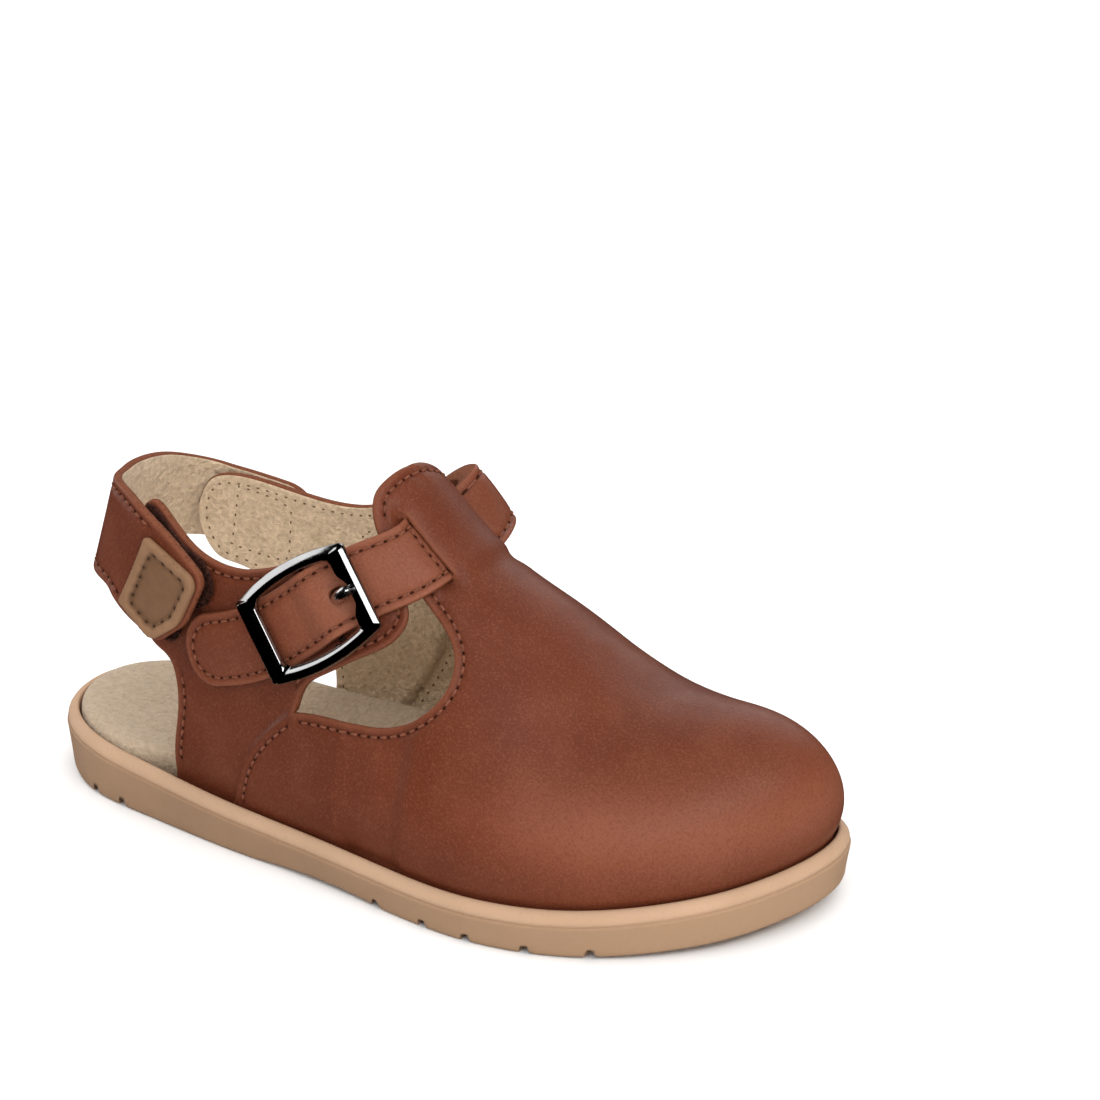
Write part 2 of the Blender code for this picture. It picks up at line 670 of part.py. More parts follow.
def strap_stand(line, flat):
    """Height of the strap's under side: on the quarters, under the T-bar, over the buckle's bar."""
    y = bare_last(flat[..., 0], flat[..., 1])[..., 1]
    on_bar = flat[..., 0] + FAN_X > SLOT_X[0] - 2
    under = (1 - smooth_step(np.abs(y), SLOT_Y[0] + GAP, SLOT_Y[1] - GAP)) * on_bar
    hump = np.clip(1 - ((line.at - line.buckle_at + BAR_ALONG) / STRAP_HUMP_HALF)**2, 0, 1)**2
    return GAP - (STRAP_THICK + 2 * GAP) * under + STRAP_HUMP * hump[:, None]


def strap_half_width(line):
    """Half width with a round tip and a round sewn end."""
    half = STRAP_WIDTH / 2
    tip = np.clip((line.length - line.at) / STRAP_TIP_ROUND, 0, 1)
    end = np.clip(line.at / STRAP_END_ROUND, 0, 1)
    return half * (0.25 + 0.75 * np.sqrt(1 - (1 - tip)**2)) * (0.4 + 0.6 * np.sqrt(1 - (1 - end)**2))


def make_instep_strap(parts, cutters, line):
    leather = material("strap_leather", (0.23, 0.085, 0.045), 0.42)
    spread = np.linspace(-1, 1, STRAP_COLUMNS)
    flat = line.beside(strap_half_width(line)[:, None] * spread)
    points = lasted(flat[..., 0].ravel(), flat[..., 1].ravel(), strap_stand(line, flat))
    strap = mesh_object("instep_strap", points, grid_faces(STRAP_STATIONS, STRAP_COLUMNS), parts, leather)
    thicken(strap, STRAP_THICK, -1.0)
    frame = buckle_frame_axes(line)
    centre = frame[0] + frame[1] * (BAR_ALONG + PRONG_HOLE_AT) + frame[3] * PRONG_HOLE_RISE
    cut(strap, oriented_box("prong_hole", centre, frame[1:], PRONG_HOLE_SIZE, cutters))
    return strap


# Buckle
def buckle_frame_axes(line):
    """Buckle centre on the last, then its directions along the strap, across it and outward."""
    i = int(np.argmin(np.abs(line.at - line.buckle_at)))
    along = -line.tangent[i]
    out = line.normal[i]
    across = np.cross(out, along)
    return line.place[i], along, across, out


def rounded_rectangle(length, width, radius, corner_steps):
    """Points round a rectangle with round corners."""
    ring = []
    for quadrant in range(4):
        sx = 1 if quadrant in (0, 3) else -1
        sy = 1 if quadrant in (0, 1) else -1
        for turn in np.linspace(quadrant * math.pi / 2, (quadrant + 1) * math.pi / 2, corner_steps):
            ring.append((sx * (length / 2 - radius) + radius * math.cos(turn),
                         sy * (width / 2 - radius) + radius * math.sin(turn)))
    return np.array(ring)


def filled_ring(length, width, radius):
    """Rounded rectangle with extra points on its straight sides, so that it can bow."""
    ring = rounded_rectangle(length, width, radius, 4)
    dense = []
    for i, point in enumerate(ring):
        following = ring[(i + 1) % len(ring)]
        steps = 6 if np.linalg.norm(following - point) > 5 else 1
        dense.extend(np.linspace(point, following, steps, endpoint=False))
    return np.array(dense)


def make_buckle_frame(parts, cutters, line):
    metal = material("black_nickel", (0.02, 0.02, 0.022), 0.18, 1.0)
    centre, along, across, out = buckle_frame_axes(line)
    rows = (
        # length, width, corner, rise
        (FRAME_LENGTH, FRAME_WIDTH, FRAME_CORNER, 0.0),
        (FRAME_LENGTH, FRAME_WIDTH, FRAME_CORNER, FRAME_THICK - FRAME_CHAMFER),
        (FRAME_LENGTH - 2 * FRAME_CHAMFER, FRAME_WIDTH - FRAME_CHAMFER, FRAME_CORNER, FRAME_THICK),
        (OPENING_LENGTH + 2 * FRAME_CHAMFER, OPENING_WIDTH + FRAME_CHAMFER, OPENING_CORNER, FRAME_THICK),
        (OPENING_LENGTH, OPENING_WIDTH, OPENING_CORNER, FRAME_THICK - FRAME_CHAMFER),
        (OPENING_LENGTH, OPENING_WIDTH, OPENING_CORNER, 0.0),
    )
    points = []
    for length, width, corner, rise in rows:
        ring = filled_ring(length, width, corner)
        bow = FRAME_BOW * (1 - (ring[:, 0] / (FRAME_LENGTH / 2))**2)
        level = FRAME_RISE + rise + bow
        points.append(centre + ring[:, :1] * along + ring[:, 1:] * across + level[:, None] * out)
    count = len(points[0])
    faces = ring_faces(len(rows), count)
    last = (len(rows) - 1) * count
    faces.extend((last + i, last + (i + 1) % count, (i + 1) % count, i) for i in range(count))
    frame = mesh_object("buckle_frame", np.vstack(points), faces, parts, metal)
    bar = buckle_bar(centre, along, across, out, cutters)
    cut(frame, bar, "UNION")
    return frame


def buckle_bar(centre, along, across, out, cutters):
    """The bar under the strap, with its ends turned up into the frame's long sides."""
    bpy.ops.mesh.primitive_cylinder_add(vertices=12, radius=1, depth=1)
    bar = bpy.context.object
    bar.name = "buckle_bar"
    for old in list(bar.users_collection):
        old.objects.unlink(bar)
    cutters.objects.link(bar)
    reach = OPENING_WIDTH + 2 * BAR_OVERLAP
    for corner in bar.data.vertices:
        x, y, z = corner.co
        place = (centre + along * (BAR_ALONG + BAR_RADIUS * x) + out * (BAR_RISE + BAR_RADIUS * y)
                 + across * reach * z)
        corner.co = Vector(place * MM)
    posts = []
    for side in (-1, 1):
        middle = (centre + along * BAR_ALONG + out * POST_RISE
                  + across * side * (OPENING_WIDTH / 2 + POST_OUT))
        posts.append(oriented_box(f"buckle_post_{side}", middle, (along, across, out), POST_SIZE, cutters))
    for post in posts:
        cut(bar, post, "UNION")
    return as_cutter(bar)


def make_buckle_prong(parts, line):
    metal = material("prong_metal", (0.03, 0.03, 0.032), 0.2, 1.0)
    centre, along, across, out = buckle_frame_axes(line)
    bar_top = BAR_RISE + BAR_RADIUS + PRONG_RADIUS
    frame_top = FRAME_RISE + FRAME_THICK + PRONG_RADIUS + GAP
    route = [(BAR_ALONG + at, bar_top + rise) for at, rise in PRONG_ON_BAR]
    route += [(BAR_ALONG + at, frame_top + rise) for at, rise in PRONG_ON_FRAME]
    middle = open_curve(route, PRONG_STATIONS)
    step = np.gradient(middle, axis=0)
    step /= np.linalg.norm(step, axis=1)[:, None]
    turns = np.linspace(0, 2 * math.pi, PRONG_SIDES, endpoint=False)
    rings = []
    for (a, c), (da, dc) in zip(middle, step):
        level = along * -dc + out * da
        spot = centre + along * a + out * c
        round_it = [math.cos(t) * level - math.sin(t) * across for t in turns]
        rings.append(spot + PRONG_RADIUS * np.array(round_it))
    return lofted_rings("buckle_prong", rings, parts, metal)


# Heel strap, its patch and its tape
class HeelBand:
    """The heel strap's middle line with the directions up the band and out of it."""

    def __init__(self):
        rows = np.array(HEEL_STRAP, float)
        chord = chord_lengths(rows[:, :3])
        dense = cubic(chord, rows, np.linspace(0, chord[-1], 800))
        run = chord_lengths(dense[:, :3])
        self.length = float(run[-1])
        self.run = run
        self.dense = dense

    def frame(self, at):
        at = np.asarray(at, float)
        rows = np.stack([np.interp(at, self.run, self.dense[:, k]) for k in range(5)], -1)
        ahead = np.stack([np.interp(at + 0.5, self.run, self.dense[:, k]) for k in range(3)], -1)
        back = np.stack([np.interp(at - 0.5, self.run, self.dense[:, k]) for k in range(3)], -1)
        along = ahead - back
        along /= np.linalg.norm(along, axis=-1, keepdims=True)
        level = np.stack([-along[..., 1], along[..., 0], np.zeros_like(along[..., 0])], -1)
        level /= np.linalg.norm(level, axis=-1, keepdims=True)
        upright = np.cross(along, level)
        lean = np.radians(rows[..., 4])[..., None]
        up = upright * np.cos(lean) - level * np.sin(lean)
        out = np.cross(up, along)
        return rows[..., :3], along, up, out, rows[..., 3]

    def points(self, at, share, stand):
        """Places at the given run, share of the half height and distance outward."""
        place, _, up, out, half = self.frame(at)
        return place + up * (share * half)[..., None] + out * np.asarray(stand)[..., None]


def heel_taper(at, length):
    """Share of the band's height near its two round ends."""
    first = np.clip(at / HEEL_STRAP_ROUND, 0, 1)
    final = np.clip((length - at) / HEEL_STRAP_ROUND, 0, 1)
    return (0.5 + 0.5 * np.sqrt(1 - (1 - first)**2)) * (0.5 + 0.5 * np.sqrt(1 - (1 - final)**2))


def band_solid(name, band, at, taper, stand, thickness, columns, parts, finish):
    """Closed solid over a stretch of the heel strap."""
    spread = np.linspace(-1, 1, columns)
    run = np.repeat(at, columns)
    share = (taper[:, None] * spread).ravel()
    inner = band.points(run, share, np.full(len(run), stand))
    made = mesh_object(name, inner, grid_faces(len(at), columns), parts, finish)
    thicken(made, thickness, 1.0)
    return made


def make_heel_strap(parts, band):
    leather = material("heel_strap_leather", (0.22, 0.08, 0.042), 0.42)
    at = np.linspace(0, band.length, HEEL_STRAP_STATIONS)
    return band_solid("heel_strap", band, at, heel_taper(at, band.length), -HEEL_STRAP_THICK / 2,
                      HEEL_STRAP_THICK, HEEL_STRAP_COLUMNS, parts, leather)


def make_patch(parts, band):
    rubber = material("patch_rubber", (0.24, 0.13, 0.065), 0.6)
    at = np.linspace(PATCH_FROM, PATCH_TO, PATCH_STATIONS)
    half = band.frame(at)[4]
    taper = heel_taper(at, band.length) - PATCH_MARGIN / half
    stand = HEEL_STRAP_THICK / 2 + GAP
    return band_solid("heel_strap_patch", band, at, taper, stand, PATCH_THICK, PATCH_COLUMNS,
                      parts, rubber)


def make_tape(parts):
    pile = material("hook_and_loop", (0.045, 0.015, 0.01), 1.0)
    ring = closed_curve(side_chart(TAPE_OUTLINE, LATERAL), TAPE_POINTS)
    flat, faces = panel(ring, [], [], TAPE_SPACING)
    points = lasted(flat[:, 0], flat[:, 1], np.full(len(flat), GAP + TAPE_THICK))
    tape = mesh_object("closure_tape", points, faces, parts, pile)
    thicken(tape, TAPE_THICK, -1.0)
    return tape


def clear_scene():
    for thing in list(bpy.data.objects):
        bpy.data.objects.remove(thing, do_unlink=True)


def main():
    clear_scene()
    parts = collection("closed_toe_sandal")
    cutters = collection("cutters")
    make_outsole(parts, cutters)
    make_insole(parts)
    make_upper(parts)
    line = StrapLine()
    make_instep_strap(parts, cutters, line)
    make_buckle_frame(parts, cutters, line)
    make_buckle_prong(parts, line)
    band = HeelBand()
    make_heel_strap(parts, band)
    make_patch(parts, band)
    make_tape(parts)


main()
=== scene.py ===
"""Looks of a child's closed-toe T-bar sandal for the right foot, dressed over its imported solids.

Millimetres in the tables, metres in the scene. +X points to the toe, -Y is the outer side, +Z is up.
"""
import math

import bpy
import numpy as np
from mathutils import Matrix, Vector, geometry, kdtree


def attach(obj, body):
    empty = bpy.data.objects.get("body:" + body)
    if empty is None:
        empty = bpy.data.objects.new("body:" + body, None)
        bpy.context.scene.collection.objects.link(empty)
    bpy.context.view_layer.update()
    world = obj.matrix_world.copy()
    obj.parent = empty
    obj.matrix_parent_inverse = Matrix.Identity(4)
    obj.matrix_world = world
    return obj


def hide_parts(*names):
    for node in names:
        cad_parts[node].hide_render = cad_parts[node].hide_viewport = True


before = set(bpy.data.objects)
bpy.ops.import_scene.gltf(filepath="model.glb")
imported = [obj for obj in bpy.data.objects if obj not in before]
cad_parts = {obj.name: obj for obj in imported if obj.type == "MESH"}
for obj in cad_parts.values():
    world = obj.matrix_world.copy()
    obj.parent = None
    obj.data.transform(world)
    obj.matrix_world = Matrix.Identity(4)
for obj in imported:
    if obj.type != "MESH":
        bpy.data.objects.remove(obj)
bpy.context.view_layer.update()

MM = 0.001
LATERAL, MEDIAL = -1, 1
RANDOM = np.random.default_rng(7)

# Sole outline seen from above: heel, outer side, toe, inner side
OUTLINE = (
    (-85, 0), (-81.8, -11.6), (-72, -20.0), (-55, -24.7), (-35, -28.5), (-10, -32.1), (10, -36.0),
    (26, -38.3), (40, -37.1), (53, -32.9), (64, -26.3), (74, -17.3), (81.2, -6.0), (85, 10.0),
    (81.5, 20.2), (74, 26.0), (63, 32.1), (50, 36.7), (36, 38.3), (20, 36.8), (0, 32.1), (-20, 28.4),
    (-42, 26.9), (-60, 25.4), (-73, 20.2), (-82, 11.2),
)
HALF_LENGTH = 85.0
CREASE_HEEL, CREASE_WAIST, CREASE_TOE = 11.8, 6.4, 8.8
RIM_RISE = 2.8
TOE_SPRING, TOE_LIFT, TOE_SPRING_FROM = 3.8, 2.4, 37.0
HEEL_LIFT, HEEL_LIFT_FROM = 3.0, -68.0
ARCH_LIFT, ARCH_MIDDLE, ARCH_HALF = 0.8, -8.0, 17.0
OUTSOLE_PROFILE = (
    # inset, line it is measured from, rise
    (1.9, "tread", 0.0),
    (1.45, "tread", 0.12),
    (1.1, "tread", 0.45),
    (0.9, "tread", 1.0),
    (0.75, "wall", 0.2),
    (0.55, "wall", 0.45),
    (0.35, "wall", 0.7),
    (0.16, "wall", 0.9),
    (0.06, "crease", -0.75),
    (0.0, "crease", -0.4),
    (0.05, "crease", -0.15),
    (0.35, "crease", 0.02),
    (0.5, "crease", 0.1),
    (0.36, "crease", 0.24),
    (0.25, "crease", 0.5),
    (0.26, "crease", 0.95),
    (0.45, "crease", 1.5),
    (0.85, "crease", 2.1),
    (1.35, "crease", 2.55),
    (1.85, "crease", 2.75),
    (2.25, "crease", 2.7),
    (2.5, "crease", 2.4),
    (2.55, "crease", 1.0),
    (2.55, "crease", -1.2),
    (8.5, "crease", -1.2),
)
SOLE_COUNT = 720
GROOVES = (-69.0, -61.0, 6.6, 18.4, 28.4, 40.5, 52.4)
GROOVE_HALF, GROOVE_DEPTH = 1.1, 1.6
GROOVE_FLOOR = 0.45 * GROOVE_HALF
GROOVE_INSET, GROOVE_STEP, GROOVE_REACH = 3.0, 1.5, 36
TREAD_INSET, TREAD_STEP = 3.5, 2.0
TREAD_X, TREAD_Y = (-84, 85), (-38, 39)
WALL_FOOT, WALL_TOP = 1.3, 1.0
# x over which the sole is painted paler towards the toe as light, and the rise above which crease rows count
# as the band
TOE_LIGHT_RAMP, BAND_FROM = (-30.0, 85.0), 0.05

# Footbed
INSOLE_HEEL_INSET, INSOLE_INSET = 3.0, 6.5
INSOLE_NARROWS = (-62.0, -50.0)
INSOLE_PROFILE = (
    # further inset, rise from the crease
    (5.0, -0.9), (0.4, -0.9), (0.0, -0.5), (0.0, 1.4), (0.05, 2.3), (0.25, 3.1), (0.65, 3.75), (1.2, 4.15),
    (1.9, 4.32), (2.8, 4.3), (4.0, 4.2), (6.5, 3.9), (8.2, 3.8),
)
INSOLE_COUNT = 480
PAD_RISE, PAD_FROM, PAD_TO, PAD_SLOPE = 3.4, (-66.0, -48.0), (-12.0, 12.0), (2.0, 18.0)

# Last: crest of the foot from the ankle to the toe, and how full its sections are
CREST = (
    # x, y, z
    (-80, 0.0, 155.0), (-50, 0.0, 124.0), (-20, 0.0, 93.0), (-5, 0.0, 77.2), (10, 0.5, 61.8),
    (25, 1.5, 52.1), (45, 3.0, 39.9), (65, 4.5, 41.2), (84, 5.5, 48.0),
)
FEATHER_INSET = 4.2
TUCK = 2.3
SIDE_FULLNESS, TOE_FULLNESS = 2.0, 2.7
SIDE_ROOT, TOE_ROOT = 2.0, 3.0
FAN_X = 32.0
# fullness low on the sides, most at a third of its height, less behind the given stretch
BULGE, BULGE_HEIGHT, BULGE_PEAK = 2.2, 26.0, 27 / 4
BULGE_REAR, BULGE_GROWS = 0.4, (-45.0, 0.0)
CHART = 45.0

# Upper
WALL = 1.8
VAMP_LAP = 0.9
SEAMS = {
    LATERAL: ((-16.5, 32.8), (-22.9, 26.6), (-26.5, 21.5), (-31.0, 9.0)),
    MEDIAL: ((-9.5, 33.9), (-12.8, 26.6), (-17.0, 19.0), (-22.5, 9.0)),
}
LATERAL_QUARTER = (
    # x, z from the sole up the rear edge, round the ear, along the top and round the front tab
    (-47.6, 7.0), (-47.2, 17), (-46.2, 28), (-47.5, 33.5), (-52, 37), (-56, 41.5), (-57.8, 48), (-57.3, 57),
    (-55.6, 65), (-53.2, 67.3), (-49.5, 65.2), (-43.5, 60.5), (-37, 58.3), (-30, 58.3), (-23, 60.3),
    (-15, 63.2), (-7, 64.6), (0, 61.5), (4.6, 56.4), (4.6, 52.2), (1, 48.8), (-5.2, 45.2), (-10.5, 41.8),
    (-15, 37.5), (-16.5, 32.8),
)
MEDIAL_QUARTER = (
    (-37.4, 7.0), (-37.0, 15), (-37.8, 22), (-40.8, 28.5), (-46.4, 33.8), (-53.5, 37), (-60, 39), (-65.3, 43),
    (-66.8, 49), (-65.3, 55.5), (-61, 58.8), (-54, 59), (-44, 58), (-34, 57.4), (-27, 58.2), (-20, 60.6),
    (-13, 63.2), (-6.5, 64.4), (0, 61.5), (4.6, 56.4), (4.6, 52.2), (2.4, 48.8), (-2.2, 45.2), (-6.0, 41.6),
    (-8.8, 37.8), (-9.5, 33.9),
)
WINDOW_FRONT = (
    # x, z along the bottom and up the front to the top of the T-bar
    (-3, 33.9), (4.5, 34.8), (10.5, 37.2), (15, 41), (16.6, 45.4), (15.2, 49.6), (11.5, 53.6), (6.2, 58.4),
    (0.5, 64.0),
)
WINDOWS = {
    LATERAL: ((-16.5, 32.8), (-10.8, 33.6)) + WINDOW_FRONT,
    MEDIAL: ((-9.5, 33.9),) + WINDOW_FRONT,
}
T_BAR_TOP = (
    # x, y from the outer corner over the crest to the inner corner
    (-3.8, -13.3), (-6.2, -11.4), (-6.4, -7.5), (-5.5, -2.5), (-5.0, 2.5), (-4.8, 7.5), (-4.6, 10.6),
    (-3.2, 12.8),
)
SLIT_X = {LATERAL: (-1.0, 9.3), MEDIAL: (-2.7, 9.5)}
SLIT_Y = {LATERAL: 8.1, MEDIAL: 9.9}
SLIT_WIDE, SLIT_FADE, SLIT_SOFT = 0.6, 4.0, 2.0
SLIT_BLEND = 0.7 * SLIT_FADE
LIP_DROP, STRIP_CLEAR = 0.25, 0.2
PARED, PARED_OVER, PARED_PAST = 0.9, 2.4, 2.0
# shares of each edge that its stitch row covers
WINDOW_ROW, SEAM_ROW, BAR_ROW, BAR_ROW_INSET = (0.03, 0.93), (0.12, 0.94), (0.14, 0.86), 2.0
SEAM_STEP = (-0.35, 0.0)
QUARTER_ROWS = {
    # x, z where each row of stitches along a quarter's edge starts and ends
    LATERAL: ((-45.5, 15), (-45, 33), (-44, 58.5), (-15.5, 37)),
    MEDIAL: ((-35.5, 12), (-8, 37.5)),
}
DENTS = (
    # side, x, z of the middle, half length, half height, depth (hollows are negative)
    (LATERAL, 2, 24, 14, 7, -0.5),
    (LATERAL, 40, 26, 20, 8, 0.35),
    (LATERAL, -36, 24, 6, 10, -0.5),
    (LATERAL, -27, 52, 7, 5, -0.3),
    (MEDIAL, 0, 24, 14, 7, -0.5),
    (MEDIAL, -34, 26, 8, 9, -0.5),
)
# Painted highlight: a pale band round the forefoot at about a third of the upper's height, where the toe
# catches the light
HIGHLIGHT_HEIGHT, HIGHLIGHT_HALF, HIGHLIGHT_FROM = 23.5, 7.0, (22.0, 52.0)
# distance along the strap from the buckle's middle, strength of the painted highlight there
STRAP_HIGHLIGHT = ((-30, 0.25), (-24, 0.5), (-12, 0.65), (-6, 1.0), (6, 0.35), (16, 0.0))
STRAP_X = 4.0

# Instep strap and buckle
GAP = 0.3
STRAP_WIDTH, STRAP_THICK = 14.6, 1.8
STRAP_MEDIAL = ((-28.5, 45.2), (-15.5, 52.3), (-4.2, 60.2))
STRAP_LATERAL = ((-4.2, 60.2), (-12.9, 54.0), (-25.0, 45.3), (-41.7, 39.4))
STRAP_TIP_ROUND, STRAP_END_ROUND = 6.5, 5.0
BUCKLE_X, BUCKLE_Z = -12.9, 54.0
FRAME_LENGTH, FRAME_WIDTH = 26.6, 19.8
OPENING_LENGTH, OPENING_WIDTH = 19.0, 14.9
OPENING_RAISE = 0.25
FRAME_CORNER, OPENING_CORNER = 0.9, 1.6
FRAME_TURN, FRAME_SHIFT = -3.0, -0.5
FRAME_BOW, FRAME_RISE, FRAME_LEAN = 0.5, 2.6, 1.1
FRAME_SWELL, OPENING_SWELL = 2.0, 1.2
FRAME_PROFILE = (
    # share of the way to the opening on an end bar, the upper side bar and the lower one, and the rise
    (0.0, 0.0, 0.0, 0.3), (0.0, 0.0, 0.0, 0.7), (0.0, 0.0, 0.0, 1.05), (0.015, 0.03, 0.03, 1.2),
    (0.04, 0.07, 0.06, 1.32), (0.16, 0.54, 0.24, 1.9), (0.19, 0.59, 0.3, 1.98), (0.23, 0.62, 0.34, 2.0),
    (0.9, 0.69, 0.46, 2.0), (0.92, 0.73, 0.5, 1.97), (0.935, 0.78, 0.56, 1.9), (0.98, 0.93, 0.74, 1.5),
    (0.99, 0.97, 0.8, 1.35), (1.0, 1.0, 0.87, 1.15), (1.0, 1.0, 1.0, 0.7), (1.0, 1.0, 1.0, 0.3),
    (0.97, 0.94, 0.94, 0.08), (0.92, 0.85, 0.85, 0.0), (0.08, 0.15, 0.15, 0.0), (0.03, 0.06, 0.06, 0.08),
)
FRAME_TOP_FROM, FRAME_SHARP, END_BLEND = 1.0, 35.0, 1.2
SEAT_ACROSS, SEAT_FADE, SEAT_CUT, SEAT_DROP = -0.6, (1.6, 4.6), 1.1, 0.5
BAR_ALONG, BAR_RADIUS, BAR_RISE, BAR_PAST, BAR_COUNT = 3.0, 0.65, 1.05, 1.0, 60
BAR_BEND = (
    # distance in from the post, rise
    (0.0, FRAME_RISE + 1.5), (0.0, 2.4), (0.5, 1.25), (2.0, BAR_RISE),
)
STRAP_HUMP, STRAP_HUMP_HALF = 1.8, 6.0
STRAP_SINK, STRAP_UNDER, STRAP_OVER = 0.15, -2.0, 4.0
FLAP_RISE, FLAP_CLIMB, FLAP_FALL = 6.6, (32.0, 40.5), (16.0, 30.5)
STRAP_CAMBER, STRAP_WAVE = 0.35, (0.12, 5.1, 3.3)
TIP_POWER, TIP_KEEPS, FLAP_FLESH = 0.9, 0.3, 0.5
BOX_STITCH_AT, SLING_BOX = 13.5, 15.0
SLIT_ROW = ((59.9, -5.6), (61.2, 0.0), (61.7, 5.6))
FLAP_MIDDLE, FLAP_REACH = 51.5, 22.0
PRONG_RADIUS, PRONG_COUNT, PRONG_NOSE, PRONG_ROOT = 1.2, 48, 0.12, 0.06
PRONG_ROUTE = (
    # distance ahead of the bar, rise
    (0.0, 2.0), (1.8, 1.6), (3.4, 2.4), (4.8, 3.9), (6.2, 5.1), (7.6, 5.45), (8.7, 5.2),
)
PRONG_HOLE_AT, PRONG_HOLE_LENGTH, PRONG_HOLE_WIDTH = 6.9, 3.4, 2.5

# Heel strap: middle line, height of the band and how far its top leans in
HEEL_STRAP = (
    # x, y, z, half height, lean in degrees
    (-39.0, -25.9, 46.3, 8.8, 6), (-47.5, -24.9, 52.4, 10.2, 7), (-56.0, -22.8, 57.6, 10.6, 9),
    (-65.0, -16.4, 59.2, 10.2, 14), (-70.3, -6.5, 58.2, 10.2, 18), (-71.6, 3.0, 56.7, 10.2, 18),
    (-70.2, 13.4, 54.0, 9.4, 14), (-64.8, 21.7, 51.4, 8.6, 8), (-54.0, 24.2, 49.2, 8.8, 6),
    (-44.0, 24.9, 47.8, 8.6, 6),
)
HEEL_STRAP_THICK, HEEL_STRAP_ROUND = 1.8, 6.0
FREE_END_RUN, SLING_ROW_FROM, SLING_CROSS = 12.0, 18.5, 30
HEEL_STRAP_END = (
    # run, distance down, corner radius
    (4.0, 9.2, 2.8), (1.6, 1.2, 6.4), (3.7, -9.8, 3.4),
)
HEEL_WAVES = (
    # run, half width, depth
    (25, 3.5, -0.35), (32, 3.5, 0.3), (39, 4.0, -0.3), (62, 6.0, 0.3), (75, 5.0, -0.3),
)
PATCH_RISE, PATCH_FIELD, PATCH_BORDER = 1.7, 0.5, 2.1
PATCH_SLOPE, PATCH_CORNER, PATCH_CLEAR = (0.25, 0.35), 0.95, 0.06
PATCH_OUTLINE = (
    # run along the heel strap, distance down from its middle line, corner radius
    (17.4, -7.7, 0.7), (15.4, 8.4, 0.7), (4.6, 8.6, 2.5), (2.1, 1.2, 6.0), (4.2, -9.2, 3.0),
)
TAPE_OUTLINE = (
    (-44.8, 42.6), (-49, 40.4), (-53.2, 41.4), (-56.0, 44.4), (-57.3, 49), (-56.8, 57), (-55.2, 64.6),
    (-53.0, 66.6), (-49.4, 64.7), (-43.6, 60.1), (-39.2, 58.0), (-36.6, 53.8), (-38.0, 50.2), (-42.4, 48.0),
    (-44.3, 45),
)
TAPE_THICK, PILE_TALL = 1.2, 0.35
FIBRES, FIBRE_RADII, FIBRE_TALL = 5200, (0.08, 0.07, 0.04), (0.2, 0.7)
ROOT_DEPTH, BEND_RISE = 0.5, 0.25
ROOT_SPREAD, BEND_SPREAD, TIP_SPREAD = 0.15, 0.12, 0.28

# Stitching
PITCH = 2.3
THREAD_RADIUS = 0.3
EDGE_ROUND = 0.4
TROUGH_DEPTH, TROUGH_WIDTH = 0.26, 0.7
PUCKER_DEPTH, PUCKER_WIDTH = 0.3, 0.55
ROW_INSET = 1.7

# Camera, fitted to the photograph's view
CAMERA_PLACE = (0.3332, -0.5538, 0.3351)
CAMERA_BACK = (0.4463, -0.8051, 0.3907)
CAMERA_RIGHT = (0.8746, 0.4848, 0.0)
CAMERA_UP = (-0.1894, 0.3417, 0.9205)
LENS, SENSOR = 118.0, 36.0

# Studio: heights of the softbox's rim as sines, and the brightness below and above it
SOFTBOX = (0.45, 0.75, 0.03, 1.5)
LAMPS = (
    # name, place, point it faces, width and height, power, seen in gloss
    ("camera_side", (-0.1, -1.15, 0.45), (0, 0, 0.04), (0.8, 0.8), 3.6, False),
    ("toe_low", (1.1, -0.7, 0.15), (0.03, 0, 0.03), (0.8, 0.5), 7, False),
    ("toe_side", (0.826, -0.439, 0.903), (0.03, 0, 0.03), (1.8, 0.34), 8, True),
    ("rear_wall", (-0.11, 1.15, 0.62), (0, 0, 0.04), (1.0, 0.8), 4, True),
    ("left_wall", (-1.1, 0.05, 0.5), (0, 0, 0.04), (0.9, 0.9), 5, True),
)
FLOOR_SIZE = 8.0


# Smooth curves through short tables
def cubic(knots, values, at):
    """Natural cubic through the rows of values, read at the given places."""
    knots = np.asarray(knots, float)
    values = np.asarray(values, float)
    flat = values.ndim == 1
    rows = values[:, None] if flat else values
    at = np.asarray(at, float)
    step = np.diff(knots)
    slope = np.diff(rows, axis=0) / step[:, None]
    system = np.eye(len(knots))
    change = np.zeros_like(rows)
    for i in range(1, len(knots) - 1):
        system[i, i - 1:i + 2] = step[i - 1], 2 * (step[i - 1] + step[i]), step[i]
        change[i] = 6 * (slope[i] - slope[i - 1])
    bend = np.linalg.solve(system, change)
    i = np.clip(np.searchsorted(knots, at) - 1, 0, len(knots) - 2)
    size = step[i][..., None]
    after = (at - knots[i])[..., None]
    before = size - after
    read = (bend[i] * before**3 + bend[i + 1] * after**3) / (6 * size)
    read = read + (rows[i] / size - bend[i] * size / 6) * before
    read = read + (rows[i + 1] / size - bend[i + 1] * size / 6) * after
    return read[..., 0] if flat else read


def chord_lengths(points):
    steps = np.linalg.norm(np.diff(points, axis=0), axis=1)
    return np.concatenate([[0.0], np.cumsum(steps)])


def read_rows(at, run, rows):
    """Rows of a table, read between its runs."""
    return np.stack([np.interp(at, run, column) for column in rows.T], -1)


def open_curve(points, count):
    """Smooth curve through the points, read at equal steps."""
    chord = chord_lengths(points)
    dense = cubic(chord, points, np.linspace(0, chord[-1], 40 * len(points)))
    run = chord_lengths(dense)
    return read_rows(np.linspace(0, run[-1], count), run, dense)


def closed_curve(points, count):
    """Smooth closed curve through the points, read at equal steps."""
    points = [tuple(p) for p in points]
    lead = 4
    ring = np.array(points[-lead:] + points + points[:lead], float)
    chord = chord_lengths(ring)
    dense = cubic(chord, ring, np.linspace(chord[lead], chord[lead + len(points)], 60 * len(points)))
    run = chord_lengths(dense)
    return read_rows(np.linspace(0, run[-1], count, endpoint=False), run, dense)


